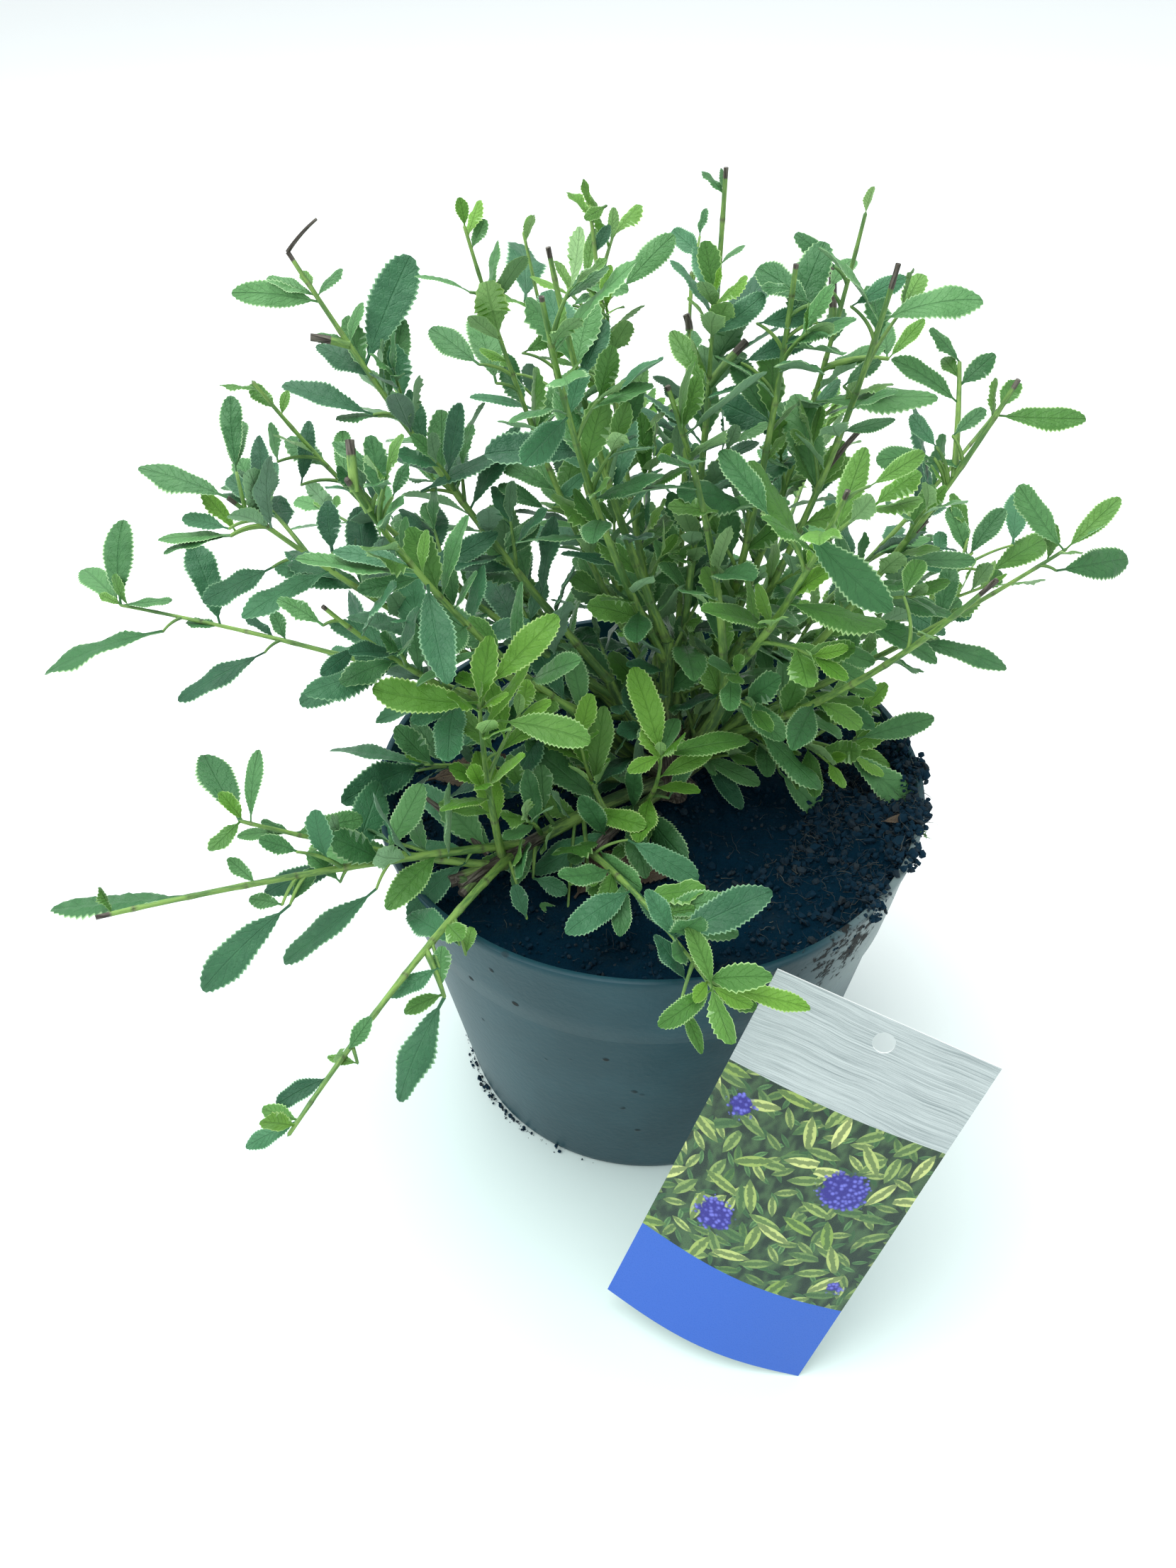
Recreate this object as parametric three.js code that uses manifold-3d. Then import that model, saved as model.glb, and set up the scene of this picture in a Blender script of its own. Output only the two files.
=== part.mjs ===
// A young california lilac (Ceanothus), cut back, in its round nursery pot, with its plant card.
// Millimetres, +Z up. The origin is the middle of the pot's flat underside; -Y is the front.
// Bearings are degrees round the plant: 0 is right (+X), 90 is the back (+Y).
import * as THREE from 'three';
import { mergeVertices } from 'three/addons/utils/BufferGeometryUtils.js';
import Module from 'manifold-3d';

const wasm = await Module();
wasm.setup();

const UP = new THREE.Vector3(0, 0, 1);
const CLEARANCE = 0.3; // between any two pieces that meet
const CUT_CLEARANCE = CLEARANCE * 1.25; // a little more where flat-sided limbs cut each other back

// ---- Pot: a thin moulded wall with a deep collar under the rim
const POT_HEIGHT = 140;
const RIM_RADIUS = 95;
const LIP_HEIGHT = 2.6;
const LIP_PROUD = 0.7;
const COLLAR_HEIGHT = 37;
const COLLAR_FOOT_RADIUS = 89.7;
const COLLAR_STEP = 1.3; // the collar stands this far out over the wall below it
const BASE_RADIUS = 73.6;
const BASE_EDGE = 2.5; // rounded edge between wall and underside
const WALL = 1.6;
const FLOOR = 2.2;
const RECESS_DEPTH = 1.4; // the underside stands on its middle disc and its outer ring
const MIDDLE_DISC_RADIUS = 20;
const FOOT_RING_WIDTH = 5;
const DRAIN_COUNT = 8;
const DRAIN_RADIUS = 5.5;
const DRAIN_CIRCLE = 52;
const POT_SIDES = 36;

// ---- Compost: fills the pot to a finger's width under the rim, heaped against it on the right
const SOIL_HEIGHT = 128;
const HEAP_BEARING = -14;
const HEAP_SPREAD = 32; // degrees to where the heap has faded
const HEAP_HEIGHT = 9;
const COMPOST_SHRINK = 0.2; // added to the clearance, for the flats of its round edge

// ---- Trunk: a short woody stem with a flared foot
const TRUNK_FOOT = new THREE.Vector3(8, 4, SOIL_HEIGHT);
const TRUNK_LEAN = new THREE.Vector3(-1, 1.5, 27); // from foot to fork
const TRUNK_RINGS = [[0, 9], [0.12, 6.9], [0.35, 5.7], [0.7, 5.2], [1, 4.6]]; // share of height, radius
const TRUNK_SIDES = 10;
const TRUNK_LOBES = 5;
const TRUNK_LOBE_DEPTH = 0.1; // share of its radius at the ground, fading to the fork
const FLAT_GROUND = 16; // compost lies level this far round the trunk

// ---- Plant card: a thin printed card that leans on the rim, one lower corner on the ground
const CARD_TOP_LEFT = new THREE.Vector3(39.5, -86.4, 138.8);
const CARD_TOP_RIGHT = new THREE.Vector3(105.3, -104.9, 118.7);
const CARD_FOOT_LEFT = new THREE.Vector3(-10.1, -125.6, 10.2);
const CARD_FOOT_RIGHT = new THREE.Vector3(54.5, -147.6, 0);
const CARD_THICKNESS = 0.6;
const CARD_BELLY = 6; // how far its middle bows to the front, from its waist to its foot
const CARD_FRONT = new THREE.Vector3(-0.15, -0.93, 0.34);
const CARD_STEPS = 4;
const CARD_HOLE = { across: 0.53, down: 0.055, radius: 3.4 };

// ---- Growth: sizes shared by every limb, twig and leaf
const BOUGH_SIDES = 5;
const BOUGH_STEPS = 4;
const BOUGH_ROOT = 5; // its axis starts this far under the height where it leaves the trunk
const BOUGH_TAPER = 0.78;
const STEM_SIDES = 4;
const STEM_STEPS = 4;
const STEM_RADIUS = 1.7; // at most, at its foot
const STEM_SHARE = 0.68; // of its bough's radius, where that is less
const CUT_TAPER = 0.8;
const GROWING_TAPER = 0.5;
const BARE_FOOT = 7; // no leaves on the first stretch of a stem
const BARE_CUT_END = 10; // nor on the last stretch before a pruned end
const BARE_GROWING_END = 3;
const TWIG_SIDES = 3;
const TWIG_STEPS = 1;
const NODE_SPACING = 15; // along a stem, from leaf to leaf
const GOLDEN_ANGLE = 137.5;
const LEAF_LENGTH = 37;
const LEAF_WIDTH = 0.33; // share of its length
const LEAF_THICKNESS = 0.8;
const LEAF_DROOP = 0.09; // share of its length that the tip hangs
const LEAF_RISE = 0.12; // how much each leaf turns up towards the light
const LEAF_LEVELLING = 0.6; // share of its fall that a leaf on a level stem takes back
const LEAF_OVER_COMPOST = 6;
const LEAF_OVER_RIM = 3;
const LEAF_OVER_GROUND = 6;
const SMALL_LEAF_LENGTH = 18;
const TWIG_SHARE = 0.15; // of the leaves have a twig in their axil
const TWIG_LENGTH = 11;
const TWIG_RADIUS = 0.9;
const AXIL_GAP = 2.4; // a twig stands this far along the stem from its leaf
const TIP_LEAVES = 2; // young leaves at a growing tip

// Each bough leaves the trunk at a height (leaves) and runs to its tip, given, as every tip is, by
// [bearing, reach from the trunk, height over the compost]. bow arches it (+ up, - outward).
// Its sprays leave it fork mm behind its tip; cut ones end in a pruned stub, others in young leaves.
const BOUGHS = [
  { name: 'left_high', leaves: 17, tip: [168, 22, 44], bow: -2, radius: 2.5, sprays: [
    { tip: [165, 117, 175], bow: -4, fork: 0, cut: true, phase: 200 },
    { tip: [179, 121, 149], bow: -8, fork: 8, phase: 190 },
  ] },
  { name: 'back_left', leaves: 22, tip: [130, 14, 44], bow: -1, radius: 2.2, sprays: [
    { tip: [155, 68, 182], bow: -5, fork: 0, phase: 90 },
    { tip: [124, 90, 166], bow: -6, fork: 7, phase: 10 },
  ] },
  { name: 'centre', leaves: 27, tip: [130, 4, 62], bow: 0, radius: 2.8, sprays: [
    { tip: [186, 36, 187], bow: -3, fork: 0, cut: true, phase: 0 },
    { tip: [-150, 42, 181], bow: -5, fork: 9, cut: true, phase: 100 },
    { tip: [118, 60, 180], bow: -5, fork: 18, phase: 210 },
  ] },
  { name: 'centre_back', leaves: 24, tip: [80, 13, 48], bow: -1, radius: 2.3, sprays: [
    { tip: [71, 29, 197], bow: -3, fork: 0, cut: true, phase: 60 },
    { tip: [52, 12, 170], bow: -1, fork: 8, phase: 120 },
    { tip: [88, 80, 152], bow: -5, fork: 14, phase: 300 },
  ] },
  { name: 'right_back', leaves: 20, tip: [42, 18, 42], bow: -2, radius: 2.5, sprays: [
    { tip: [40, 65, 181], bow: -5, fork: 0, phase: 60 },
    { tip: [15, 29, 179], bow: -3, fork: 8, cut: true, phase: 220 },
    { tip: [8, 55, 179], bow: -6, fork: 15, cut: true, phase: 330 },
  ] },
  { name: 'right', leaves: 14, tip: [2, 26, 36], bow: -2, radius: 2.8, sprays: [
    { tip: [-4, 88, 154], bow: -5, fork: 0, cut: true, phase: 0 },
    { tip: [1, 116, 98], bow: -3, fork: 8, phase: 90 },
    { tip: [-30, 94, 118], bow: -6, fork: 15, cut: true, phase: 180 },
  ] },
  { name: 'front_right', leaves: 18, tip: [-30, 20, 58], bow: -4, radius: 2.4, sprays: [
    { tip: [-45, 58, 140], bow: -3, fork: 0, cut: true, phase: 300 },
    { tip: [-114, 12, 154], bow: 4, fork: 9, cut: true, phase: 20 },
  ] },
  { name: 'low_right', leaves: 6, tip: [14, 30, 19], bow: 2, radius: 2, sprays: [
    { tip: [-2, 63, 19], bow: 2, fork: 0, phase: 60 },
    { tip: [36, 60, 50], bow: -2, fork: 6, phase: 250 },
    { tip: [5, 49, 30], bow: 1, fork: 12, cut: true, phase: 120 },
  ] },
  { name: 'front', leaves: 5, tip: [-118, 55, 14], bow: 3, radius: 2, sprays: [
    { tip: [-84, 108, 22], bow: 4, fork: 0, phase: 80 },
    { tip: [-143, 38, 42], bow: -3, fork: 16, phase: 15 },
    { tip: [-97, 32, 42], bow: -3, fork: 33, phase: 130 },
  ] },
  { name: 'front_left', leaves: 9, tip: [-136, 92, 14], bow: 4, radius: 2.6, sprays: [
    { tip: [-122, 184, 20], bow: 5, fork: 21, phase: 35 },
    { tip: [-137, 77, 79], bow: -1, fork: 17, phase: 90 },
    { tip: [-149, 146, 52], bow: -2, fork: 13, phase: 0 },
    { tip: [-145, 191, 48], bow: 3, fork: 28, cut: true, phase: 70 },
  ] },
  { name: 'left_low', leaves: 5, tip: [-163, 38, 10], bow: 4, radius: 1.9, sprays: [
    { tip: [-168, 86, 24], bow: 3, fork: 0, phase: 150 },
  ] },
  { name: 'left', leaves: 9, tip: [179, 40, 28], bow: 2, radius: 2.3, sprays: [
    { tip: [180, 180, 75], bow: 4, fork: 0, phase: 40 },
    { tip: [-152, 109, 110], bow: -6, fork: 8, cut: true, phase: 200 },
  ] },
  { name: 'left_mid', leaves: 13, tip: [-158, 28, 40], bow: -2, radius: 2.4, sprays: [
    { tip: [-166, 127, 131], bow: -4, fork: 0, cut: true, phase: 100 },
    { tip: [-147, 99, 149], bow: -6, fork: 8, cut: true, phase: 40 },
  ] },
  { name: 'back_low', leaves: 6, tip: [100, 34, 24], bow: 2, radius: 2, sprays: [
    { tip: [96, 138, 78], bow: 3, fork: 0, phase: 20 },
    { tip: [118, 114, 112], bow: -6, fork: 8, cut: true, phase: 160 },
  ] },
  { name: 'back_right', leaves: 10, tip: [50, 34, 28], bow: 2, radius: 2.2, sprays: [
    { tip: [64, 134, 84], bow: 3, fork: 0, phase: 70 },
    { tip: [36, 136, 106], bow: -6, fork: 7, cut: true, phase: 240 },
    { tip: [22, 118, 58], bow: 3, fork: 14, phase: 10 },
  ] },
  { name: 'back_left_low', leaves: 13, tip: [148, 34, 32], bow: 2, radius: 2.2, sprays: [
    { tip: [152, 144, 72], bow: 3, fork: 0, phase: 110 },
    { tip: [138, 142, 114], bow: -6, fork: 8, cut: true, phase: 300 },
  ] },
];

// ---- Materials
const finishes = {
  pot: { color: 0x3d4a52, roughness: 0.5, metalness: 0 },
  compost: { color: 0x1c1815, roughness: 0.95, metalness: 0 },
  wood: { color: 0x6b5a35, roughness: 0.8, metalness: 0 },
  bough: { color: 0x7f9a4a, roughness: 0.7, metalness: 0 },
  foliage: { color: 0x3f7a3c, roughness: 0.55, metalness: 0 },
  card: { color: 0x8b98b0, roughness: 0.4, metalness: 0 },
};

// ---- Closed meshes and solids
function solidOf(points, triangles) {
  const mesh = new wasm.Mesh({
    numProp: 3,
    vertProperties: Float32Array.from(points.flatMap((p) => [p.x, p.y, p.z])),
    triVerts: Uint32Array.from(triangles.flat()),
  });
  return new wasm.Manifold(mesh);
}

function solidOfGeometry(geometry) {
  const bare = geometry.clone();
  bare.deleteAttribute('normal');
  bare.deleteAttribute('uv');
  const merged = mergeVertices(bare, 1e-4);
  const mesh = new wasm.Mesh({
    numProp: 3,
    vertProperties: Float32Array.from(merged.attributes.position.array),
    triVerts: Uint32Array.from(merged.index.array),
  });
  return new wasm.Manifold(mesh);
}

// The largest outer shell of a solid: loose scraps go and sealed hollows are filled.
function mainBody(solid) {
  const bodies = solid.decompose();
  return bodies.reduce((best, body) => (body.volume() > best.volume() ? body : best));
}

function meshOf(name, solid, finish) {
  const data = solid.getMesh();
  const geometry = new THREE.BufferGeometry();
  geometry.setAttribute('position', new THREE.BufferAttribute(Float32Array.from(data.vertProperties), 3));
  geometry.setIndex(new THREE.BufferAttribute(Uint32Array.from(data.triVerts), 1));
  const mesh = new THREE.Mesh(geometry, new THREE.MeshStandardMaterial(finish));
  mesh.name = name;
  return mesh;
}

// Turns a profile of [radius, height] pairs about the upright axis.
function turned(profile, sides) {
  const lathe = new THREE.LatheGeometry(profile.map(([r, z]) => new THREE.Vector2(r, z)), sides);
  return solidOfGeometry(lathe.rotateX(Math.PI / 2));
}

// ---- Pot
const bodyTopRadius = COLLAR_FOOT_RADIUS - COLLAR_STEP;
const collarFoot = POT_HEIGHT - COLLAR_HEIGHT;

function innerRadius(z) {
  const collarShare = (z - collarFoot) / COLLAR_HEIGHT;
  const bodyShare = z / collarFoot;
  const outer = z > collarFoot
    ? THREE.MathUtils.lerp(bodyTopRadius, RIM_RADIUS - LIP_PROUD, collarShare)
    : THREE.MathUtils.lerp(BASE_RADIUS, bodyTopRadius, bodyShare);
  return outer - WALL;
}

function buildPot() {
  const floorTop = RECESS_DEPTH + FLOOR;
  const profile = [
    [0, 0],
    [MIDDLE_DISC_RADIUS, 0],
    [MIDDLE_DISC_RADIUS + 2, RECESS_DEPTH],
    [BASE_RADIUS - FOOT_RING_WIDTH - 3, RECESS_DEPTH],
    [BASE_RADIUS - FOOT_RING_WIDTH, 0],
    [BASE_RADIUS - BASE_EDGE / 2, 0],
    [BASE_RADIUS, BASE_EDGE],
    [bodyTopRadius, collarFoot],
    [COLLAR_FOOT_RADIUS, collarFoot],
    [RIM_RADIUS - LIP_PROUD, POT_HEIGHT - LIP_HEIGHT],
    [RIM_RADIUS, POT_HEIGHT - LIP_HEIGHT + 0.6],
    [RIM_RADIUS, POT_HEIGHT],
    [innerRadius(POT_HEIGHT), POT_HEIGHT],
    [innerRadius(collarFoot), collarFoot],
    [innerRadius(floorTop), floorTop],
    [0, floorTop],
  ];
  let pot = turned(profile, POT_SIDES);
  for (let i = 0; i < DRAIN_COUNT; i += 1) {
    const angle = ((i + 0.5) * 2 * Math.PI) / DRAIN_COUNT;
    const drill = new THREE.CylinderGeometry(DRAIN_RADIUS, DRAIN_RADIUS, 4 * FLOOR, 10);
    drill.rotateX(Math.PI / 2);
    drill.translate(DRAIN_CIRCLE * Math.cos(angle), DRAIN_CIRCLE * Math.sin(angle), floorTop / 2);
    pot = pot.subtract(solidOfGeometry(drill));
  }
  return mainBody(pot);
}

// ---- Compost
// Height of the compost's face: level round the trunk, uneven outside, heaped on the right.
function soilHeight(x, y) {
  const fromTrunk = Math.hypot(x - TRUNK_FOOT.x, y - TRUNK_FOOT.y);
  const outside = THREE.MathUtils.smoothstep(fromTrunk, FLAT_GROUND, FLAT_GROUND + 20);
  const radius = Math.hypot(x, y);
  const bearing = THREE.MathUtils.radToDeg(Math.atan2(y, x)) - HEAP_BEARING;
  const heap = Math.exp(-((bearing / HEAP_SPREAD) ** 2)) * THREE.MathUtils.smoothstep(radius, 40, 88);
  const uneven = 1.1 * Math.sin(x / 9 + 1) * Math.cos(y / 11) + 0.7 * Math.sin((x + 2 * y) / 7);
  return SOIL_HEIGHT + outside * (uneven + HEAP_HEIGHT * heap);
}

function buildCompost() {
  const floor = RECESS_DEPTH + FLOOR + CLEARANCE;
  const edge = (z) => innerRadius(z) - CLEARANCE - COMPOST_SHRINK;
  const topRadii = [edge(SOIL_HEIGHT), 82, 68, 50, 30, 14];
  const profile = [[0, floor], [edge(floor), floor], [edge(collarFoot), collarFoot]];
  topRadii.forEach((r) => profile.push([r, SOIL_HEIGHT]));
  profile.push([0, SOIL_HEIGHT]);
  const lathe = new THREE.LatheGeometry(profile.map(([r, z]) => new THREE.Vector2(r, z)), POT_SIDES);
  lathe.rotateX(Math.PI / 2);
  const place = lathe.attributes.position;
  for (let i = 0; i < place.count; i += 1) {
    if (place.getZ(i) > collarFoot + 1) {
      place.setZ(i, soilHeight(place.getX(i), place.getY(i)));
    }
  }
  return solidOfGeometry(lathe);
}

// ---- Plant card
function cardPoint(across, down) {
  const top = CARD_TOP_LEFT.clone().lerp(CARD_TOP_RIGHT, across);
  const foot = CARD_FOOT_LEFT.clone().lerp(CARD_FOOT_RIGHT, across);
  const bow = CARD_BELLY * Math.sin(Math.min(1, 1.3 * down) * Math.PI / 2) * Math.sin(Math.PI * across);
  return top.lerp(foot, down).addScaledVector(CARD_FRONT, bow);
}

function buildCard() {
  const across = CARD_TOP_RIGHT.clone().sub(CARD_TOP_LEFT);
  const down = CARD_FOOT_LEFT.clone().sub(CARD_TOP_LEFT);
  const back = across.clone().cross(down).normalize().multiplyScalar(CARD_THICKNESS);
  const points = [];
  const triangles = [];
  const row = CARD_STEPS + 1;
  const face = row * row;
  for (let layer = 0; layer < 2; layer += 1) {
    for (let j = 0; j < row; j += 1) {
      for (let i = 0; i < row; i += 1) {
        points.push(cardPoint(i / CARD_STEPS, j / CARD_STEPS).addScaledVector(back, -layer));
      }
    }
  }
  const quad = (a, b, c, d) => triangles.push([a, b, c], [a, c, d]);
  for (let j = 0; j < CARD_STEPS; j += 1) {
    for (let i = 0; i < CARD_STEPS; i += 1) {
      const a = j * row + i;
      quad(a, a + 1, a + row + 1, a + row);
      quad(face + a, face + a + row, face + a + row + 1, face + a + 1);
    }
  }
  for (let i = 0; i < CARD_STEPS; i += 1) {
    const low = CARD_STEPS * row + i;
    const left = i * row;
    const right = i * row + CARD_STEPS;
    quad(i + 1, i, face + i, face + i + 1);
    quad(low, low + 1, face + low + 1, face + low);
    quad(left, left + row, face + left + row, face + left);
    quad(right + row, right, face + right, face + right + row);
  }
  const hole = new THREE.CylinderGeometry(CARD_HOLE.radius, CARD_HOLE.radius, 12, 12);
  const turn = new THREE.Quaternion().setFromUnitVectors(new THREE.Vector3(0, 1, 0), back.clone().normalize());
  hole.applyQuaternion(turn);
  const middle = cardPoint(CARD_HOLE.across, CARD_HOLE.down);
  hole.translate(middle.x, middle.y, middle.z);
  return solidOf(points, triangles).subtract(solidOfGeometry(hole));
}

// ---- Limbs
function place([bearing, reach, height]) {
  const angle = THREE.MathUtils.degToRad(bearing);
  return new THREE.Vector3(reach * Math.cos(angle), reach * Math.sin(angle), height).add(TRUNK_FOOT);
}

// A path from one point to another whose middle stands off the straight line by bow.
function bend(from, to, bow) {
  const chord = to.clone().sub(from);
  const outward = new THREE.Vector3(chord.x, chord.y, 0).normalize();
  const side = outward.cross(UP);
  const normal = side.cross(chord.clone().normalize());
  const control = from.clone().lerp(to, 0.5).addScaledVector(normal, 2 * bow);
  return new THREE.QuadraticBezierCurve3(from, control, to);
}

function limb(path, footRadius, tipRadius, sides, steps) {
  const frames = path.computeFrenetFrames(steps, false);
  const points = [];
  const triangles = [];
  for (let j = 0; j <= steps; j += 1) {
    const centre = path.getPointAt(j / steps);
    const radius = THREE.MathUtils.lerp(footRadius, tipRadius, j / steps);
    for (let i = 0; i < sides; i += 1) {
      const angle = (2 * Math.PI * i) / sides;
      points.push(centre.clone()
        .addScaledVector(frames.normals[j], radius * Math.cos(angle))
        .addScaledVector(frames.binormals[j], radius * Math.sin(angle)));
    }
  }
  for (let j = 0; j < steps; j += 1) {
    for (let i = 0; i < sides; i += 1) {
      const next = (i + 1) % sides;
      const [a, b] = [j * sides + i, j * sides + next];
      triangles.push([a, b, b + sides], [a, b + sides, a + sides]);
    }
  }
  const last = steps * sides;
  for (let i = 1; i < sides - 1; i += 1) {
    triangles.push([0, i + 1, i], [last, last + i, last + i + 1]);
  }
  return solidOf(points, triangles);
}

function trunkAxis(height) {
  return TRUNK_FOOT.clone().addScaledVector(TRUNK_LEAN, height / TRUNK_LEAN.z);
}

// The trunk's solid, extra mm bigger all round but for its foot, which goes down instead.
function trunkSolid(extra) {
  const points = [];
  const triangles = [];
  TRUNK_RINGS.forEach(([share, radius]) => {
    const centre = trunkAxis(share * TRUNK_LEAN.z + (share === 0 ? CLEARANCE - extra : extra * share));
    for (let i = 0; i < TRUNK_SIDES; i += 1) {
      const angle = (2 * Math.PI * i) / TRUNK_SIDES;
      const lobed = radius * (1 + (1 - share) * TRUNK_LOBE_DEPTH * Math.cos(TRUNK_LOBES * angle)) + extra;
      points.push(centre.clone().add(new THREE.Vector3(lobed * Math.cos(angle), lobed * Math.sin(angle), 0)));
    }
  });
  for (let j = 0; j < TRUNK_RINGS.length - 1; j += 1) {
    for (let i = 0; i < TRUNK_SIDES; i += 1) {
      const next = (i + 1) % TRUNK_SIDES;
      const [a, b] = [j * TRUNK_SIDES + i, j * TRUNK_SIDES + next];
      triangles.push([a, b, b + TRUNK_SIDES], [a, b + TRUNK_SIDES, a + TRUNK_SIDES]);
    }
  }
  const last = (TRUNK_RINGS.length - 1) * TRUNK_SIDES;
  for (let i = 1; i < TRUNK_SIDES - 1; i += 1) {
    triangles.push([0, i + 1, i], [last, last + i, last + i + 1]);
  }
  return solidOf(points, triangles);
}

// ---- Leaves and twigs
function seededRandom(seed) {
  let state = seed;
  return () => {
    state = (state + 0x6d2b79f5) >>> 0;
    let t = Math.imul(state ^ (state >>> 15), 1 | state);
    t = (t + Math.imul(t ^ (t >>> 7), 61 | t)) ^ t;
    return ((t ^ (t >>> 14)) >>> 0) / 4294967296;
  };
}

// Which way a leaf or twig grows from a stem, and which way its upper face looks.
function growthAxes(tangent, bearing, spread, roll) {
  const side = Math.abs(tangent.z) > 0.999 ? new THREE.Vector3(1, 0, 0) : tangent.clone().cross(UP).normalize();
  const over = side.clone().cross(tangent);
  const angle = THREE.MathUtils.degToRad(bearing);
  const radial = over.multiplyScalar(Math.cos(angle)).addScaledVector(side, Math.sin(angle));
  const opening = THREE.MathUtils.degToRad(spread);
  const along = tangent.clone().multiplyScalar(Math.cos(opening)).addScaledVector(radial, Math.sin(opening));
  const level = 1 - Math.abs(tangent.z);
  along.z += LEAF_RISE - Math.min(0, along.z) * LEAF_LEVELLING * level;
  along.normalize();
  const face = UP.clone().multiplyScalar(0.8).addScaledVector(tangent, 0.6);
  face.addScaledVector(along, -face.dot(along)).normalize();
  face.applyAxisAngle(along, THREE.MathUtils.degToRad(roll));
  return { along, face };
}

// Turns a leaf or twig up until its tip stays over the compost, the rim or the ground below it.
function lift(root, along, length) {
  const tip = root.clone().addScaledVector(along, length);
  const radius = Math.hypot(tip.x, tip.y);
  const inside = radius < RIM_RADIUS - 6 ? SOIL_HEIGHT + LEAF_OVER_COMPOST : POT_HEIGHT + LEAF_OVER_RIM;
  const ground = radius < RIM_RADIUS + 4 ? inside : LEAF_OVER_GROUND;
  if (tip.z < ground) {
    along.z += (ground - tip.z) / length;
    along.normalize();
  }
}

// One spray's leaves and twigs: a leaf at each node of the stem, a small twig in some of the axils.
function grow(spray, path, seed) {
  const random = seededRandom(seed);
  const leaves = [];
  const twigs = [];
  const length = path.getLength();
  const leafy = length - BARE_FOOT - (spray.cut ? BARE_CUT_END : BARE_GROWING_END);
  const count = Math.max(2, Math.round(leafy / NODE_SPACING));
  const addLeaf = (root, axes, size, small) => {
    lift(root, axes.along, size);
    axes.face.addScaledVector(axes.along, -axes.face.dot(axes.along)).normalize();
    leaves.push({ root, along: axes.along, face: axes.face, length: size, small });
  };
  for (let i = 0; i < count; i += 1) {
    const draw = Array.from({ length: 8 }, random);
    const share = (BARE_FOOT + ((i + 0.3 + 0.4 * draw[0]) / count) * leafy) / length;
    const root = path.getPointAt(share);
    const tangent = path.getTangentAt(share);
    const bearing = spray.phase + i * GOLDEN_ANGLE + 30 * (draw[1] - 0.5);
    const young = spray.cut ? 0.08 * share : 0.4 * share ** 2;
    const size = LEAF_LENGTH * (0.78 + 0.4 * draw[2]) * (1 - young);
    const spread = 60 + 16 * Math.abs(tangent.z) - 14 * share + 16 * (draw[3] - 0.5);
    addLeaf(root, growthAxes(tangent, bearing, spread, 44 * (draw[4] - 0.5)), size, false);
    if (draw[5] < TWIG_SHARE) {
      const shoot = growthAxes(tangent, bearing + 25, 40, 0);
      lift(root, shoot.along, TWIG_LENGTH * 1.6);
      const reach = TWIG_LENGTH * (0.6 + 0.8 * draw[6]);
      const axil = path.getPointAt(share + AXIL_GAP / length);
      const end = axil.clone().addScaledVector(shoot.along, reach);
      twigs.push({ from: axil, to: end });
      for (let k = 0; k < 2; k += 1) {
        const small = SMALL_LEAF_LENGTH * (0.7 + 0.6 * ((draw[7] * 7 + k * 0.61) % 1));
        const joint = axil.clone().lerp(end, 0.9 - 0.38 * k);
        addLeaf(joint, growthAxes(shoot.along, bearing + 200 * k + 60, 42, 0), small, true);
      }
    }
  }
  if (!spray.cut) {
    for (let k = 0; k < TIP_LEAVES; k += 1) {
      const draw = [random(), random()];
      const root = path.getPointAt(1 - (1 + AXIL_GAP * k) / length);
      const axes = growthAxes(path.getTangentAt(1), spray.phase + 60 + 150 * k + 30 * draw[0], 32 + 16 * k, 0);
      addLeaf(root, axes, SMALL_LEAF_LENGTH * (0.75 + 0.4 * draw[1]), true);
    }
  }
  return { leaves, twigs };
}

// A blade with a blunt tip: widest past its middle, its ridge the midrib, its root an upright edge.
function leafSolid({ root, along, face, length, small }) {
  const side = along.clone().cross(face);
  const half = (LEAF_WIDTH * length) / 2;
  const at = (share, across, high) => root.clone().addScaledVector(along, share * length)
    .addScaledVector(side, across * half).addScaledVector(face, high);
  const thick = small ? LEAF_THICKNESS * 0.3 : LEAF_THICKNESS / 2;
  const droop = -LEAF_DROOP * length;
  const rim = small
    ? [at(0.6, 1.2, 0), at(1, 0, droop / 2), at(0.6, -1.2, 0)]
    : [at(0.36, 0.95, 0), at(0.76, 0.9, droop / 2), at(1, 0, droop), at(0.76, -0.9, droop / 2), at(0.36, -0.95, 0)];
  const points = [at(0, 0, thick), at(0, 0, -thick), at(0.55, 0, thick + 0.02 * length), ...rim];
  const last = points.length - 1;
  const triangles = [[0, 1, 3], [0, last, 1], [0, 3, 2], [0, 2, last], [1, last, 3]];
  for (let i = 3; i < last; i += 1) {
    triangles.push([2, i, i + 1]);
    if (i > 3) {
      triangles.push([3, i + 1, i]);
    }
  }
  return solidOf(points, triangles);
}

// ---- Building: every solid is kept with its box, so that only near neighbours are measured
const placed = [];

function keep(owner, solid) {
  placed.push({ owner, solid, box: solid.boundingBox() });
}

function boxesMeet(a, b, margin) {
  return [0, 1, 2].every((k) => a.min[k] - margin < b.max[k] && b.min[k] - margin < a.max[k]);
}

function standsClear(owner, solid, margin) {
  const box = solid.boundingBox();
  return placed.every((other) => other.owner === owner || !boxesMeet(box, other.box, margin)
    || solid.minGap(other.solid, margin * 2) > margin);
}

const shrub = new THREE.Group();
const pot = buildPot();
const compost = buildCompost();
const card = buildCard();
const trunk = trunkSolid(0);
shrub.add(meshOf('pot', pot, finishes.pot));
shrub.add(meshOf('compost', compost, finishes.compost));
shrub.add(meshOf('plant_card', card, finishes.card));
shrub.add(meshOf('trunk', trunk, finishes.wood));
[['pot', pot], ['compost', compost], ['plant_card', card], ['trunk', trunk]].forEach(([n, s]) => keep(n, s));

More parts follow.
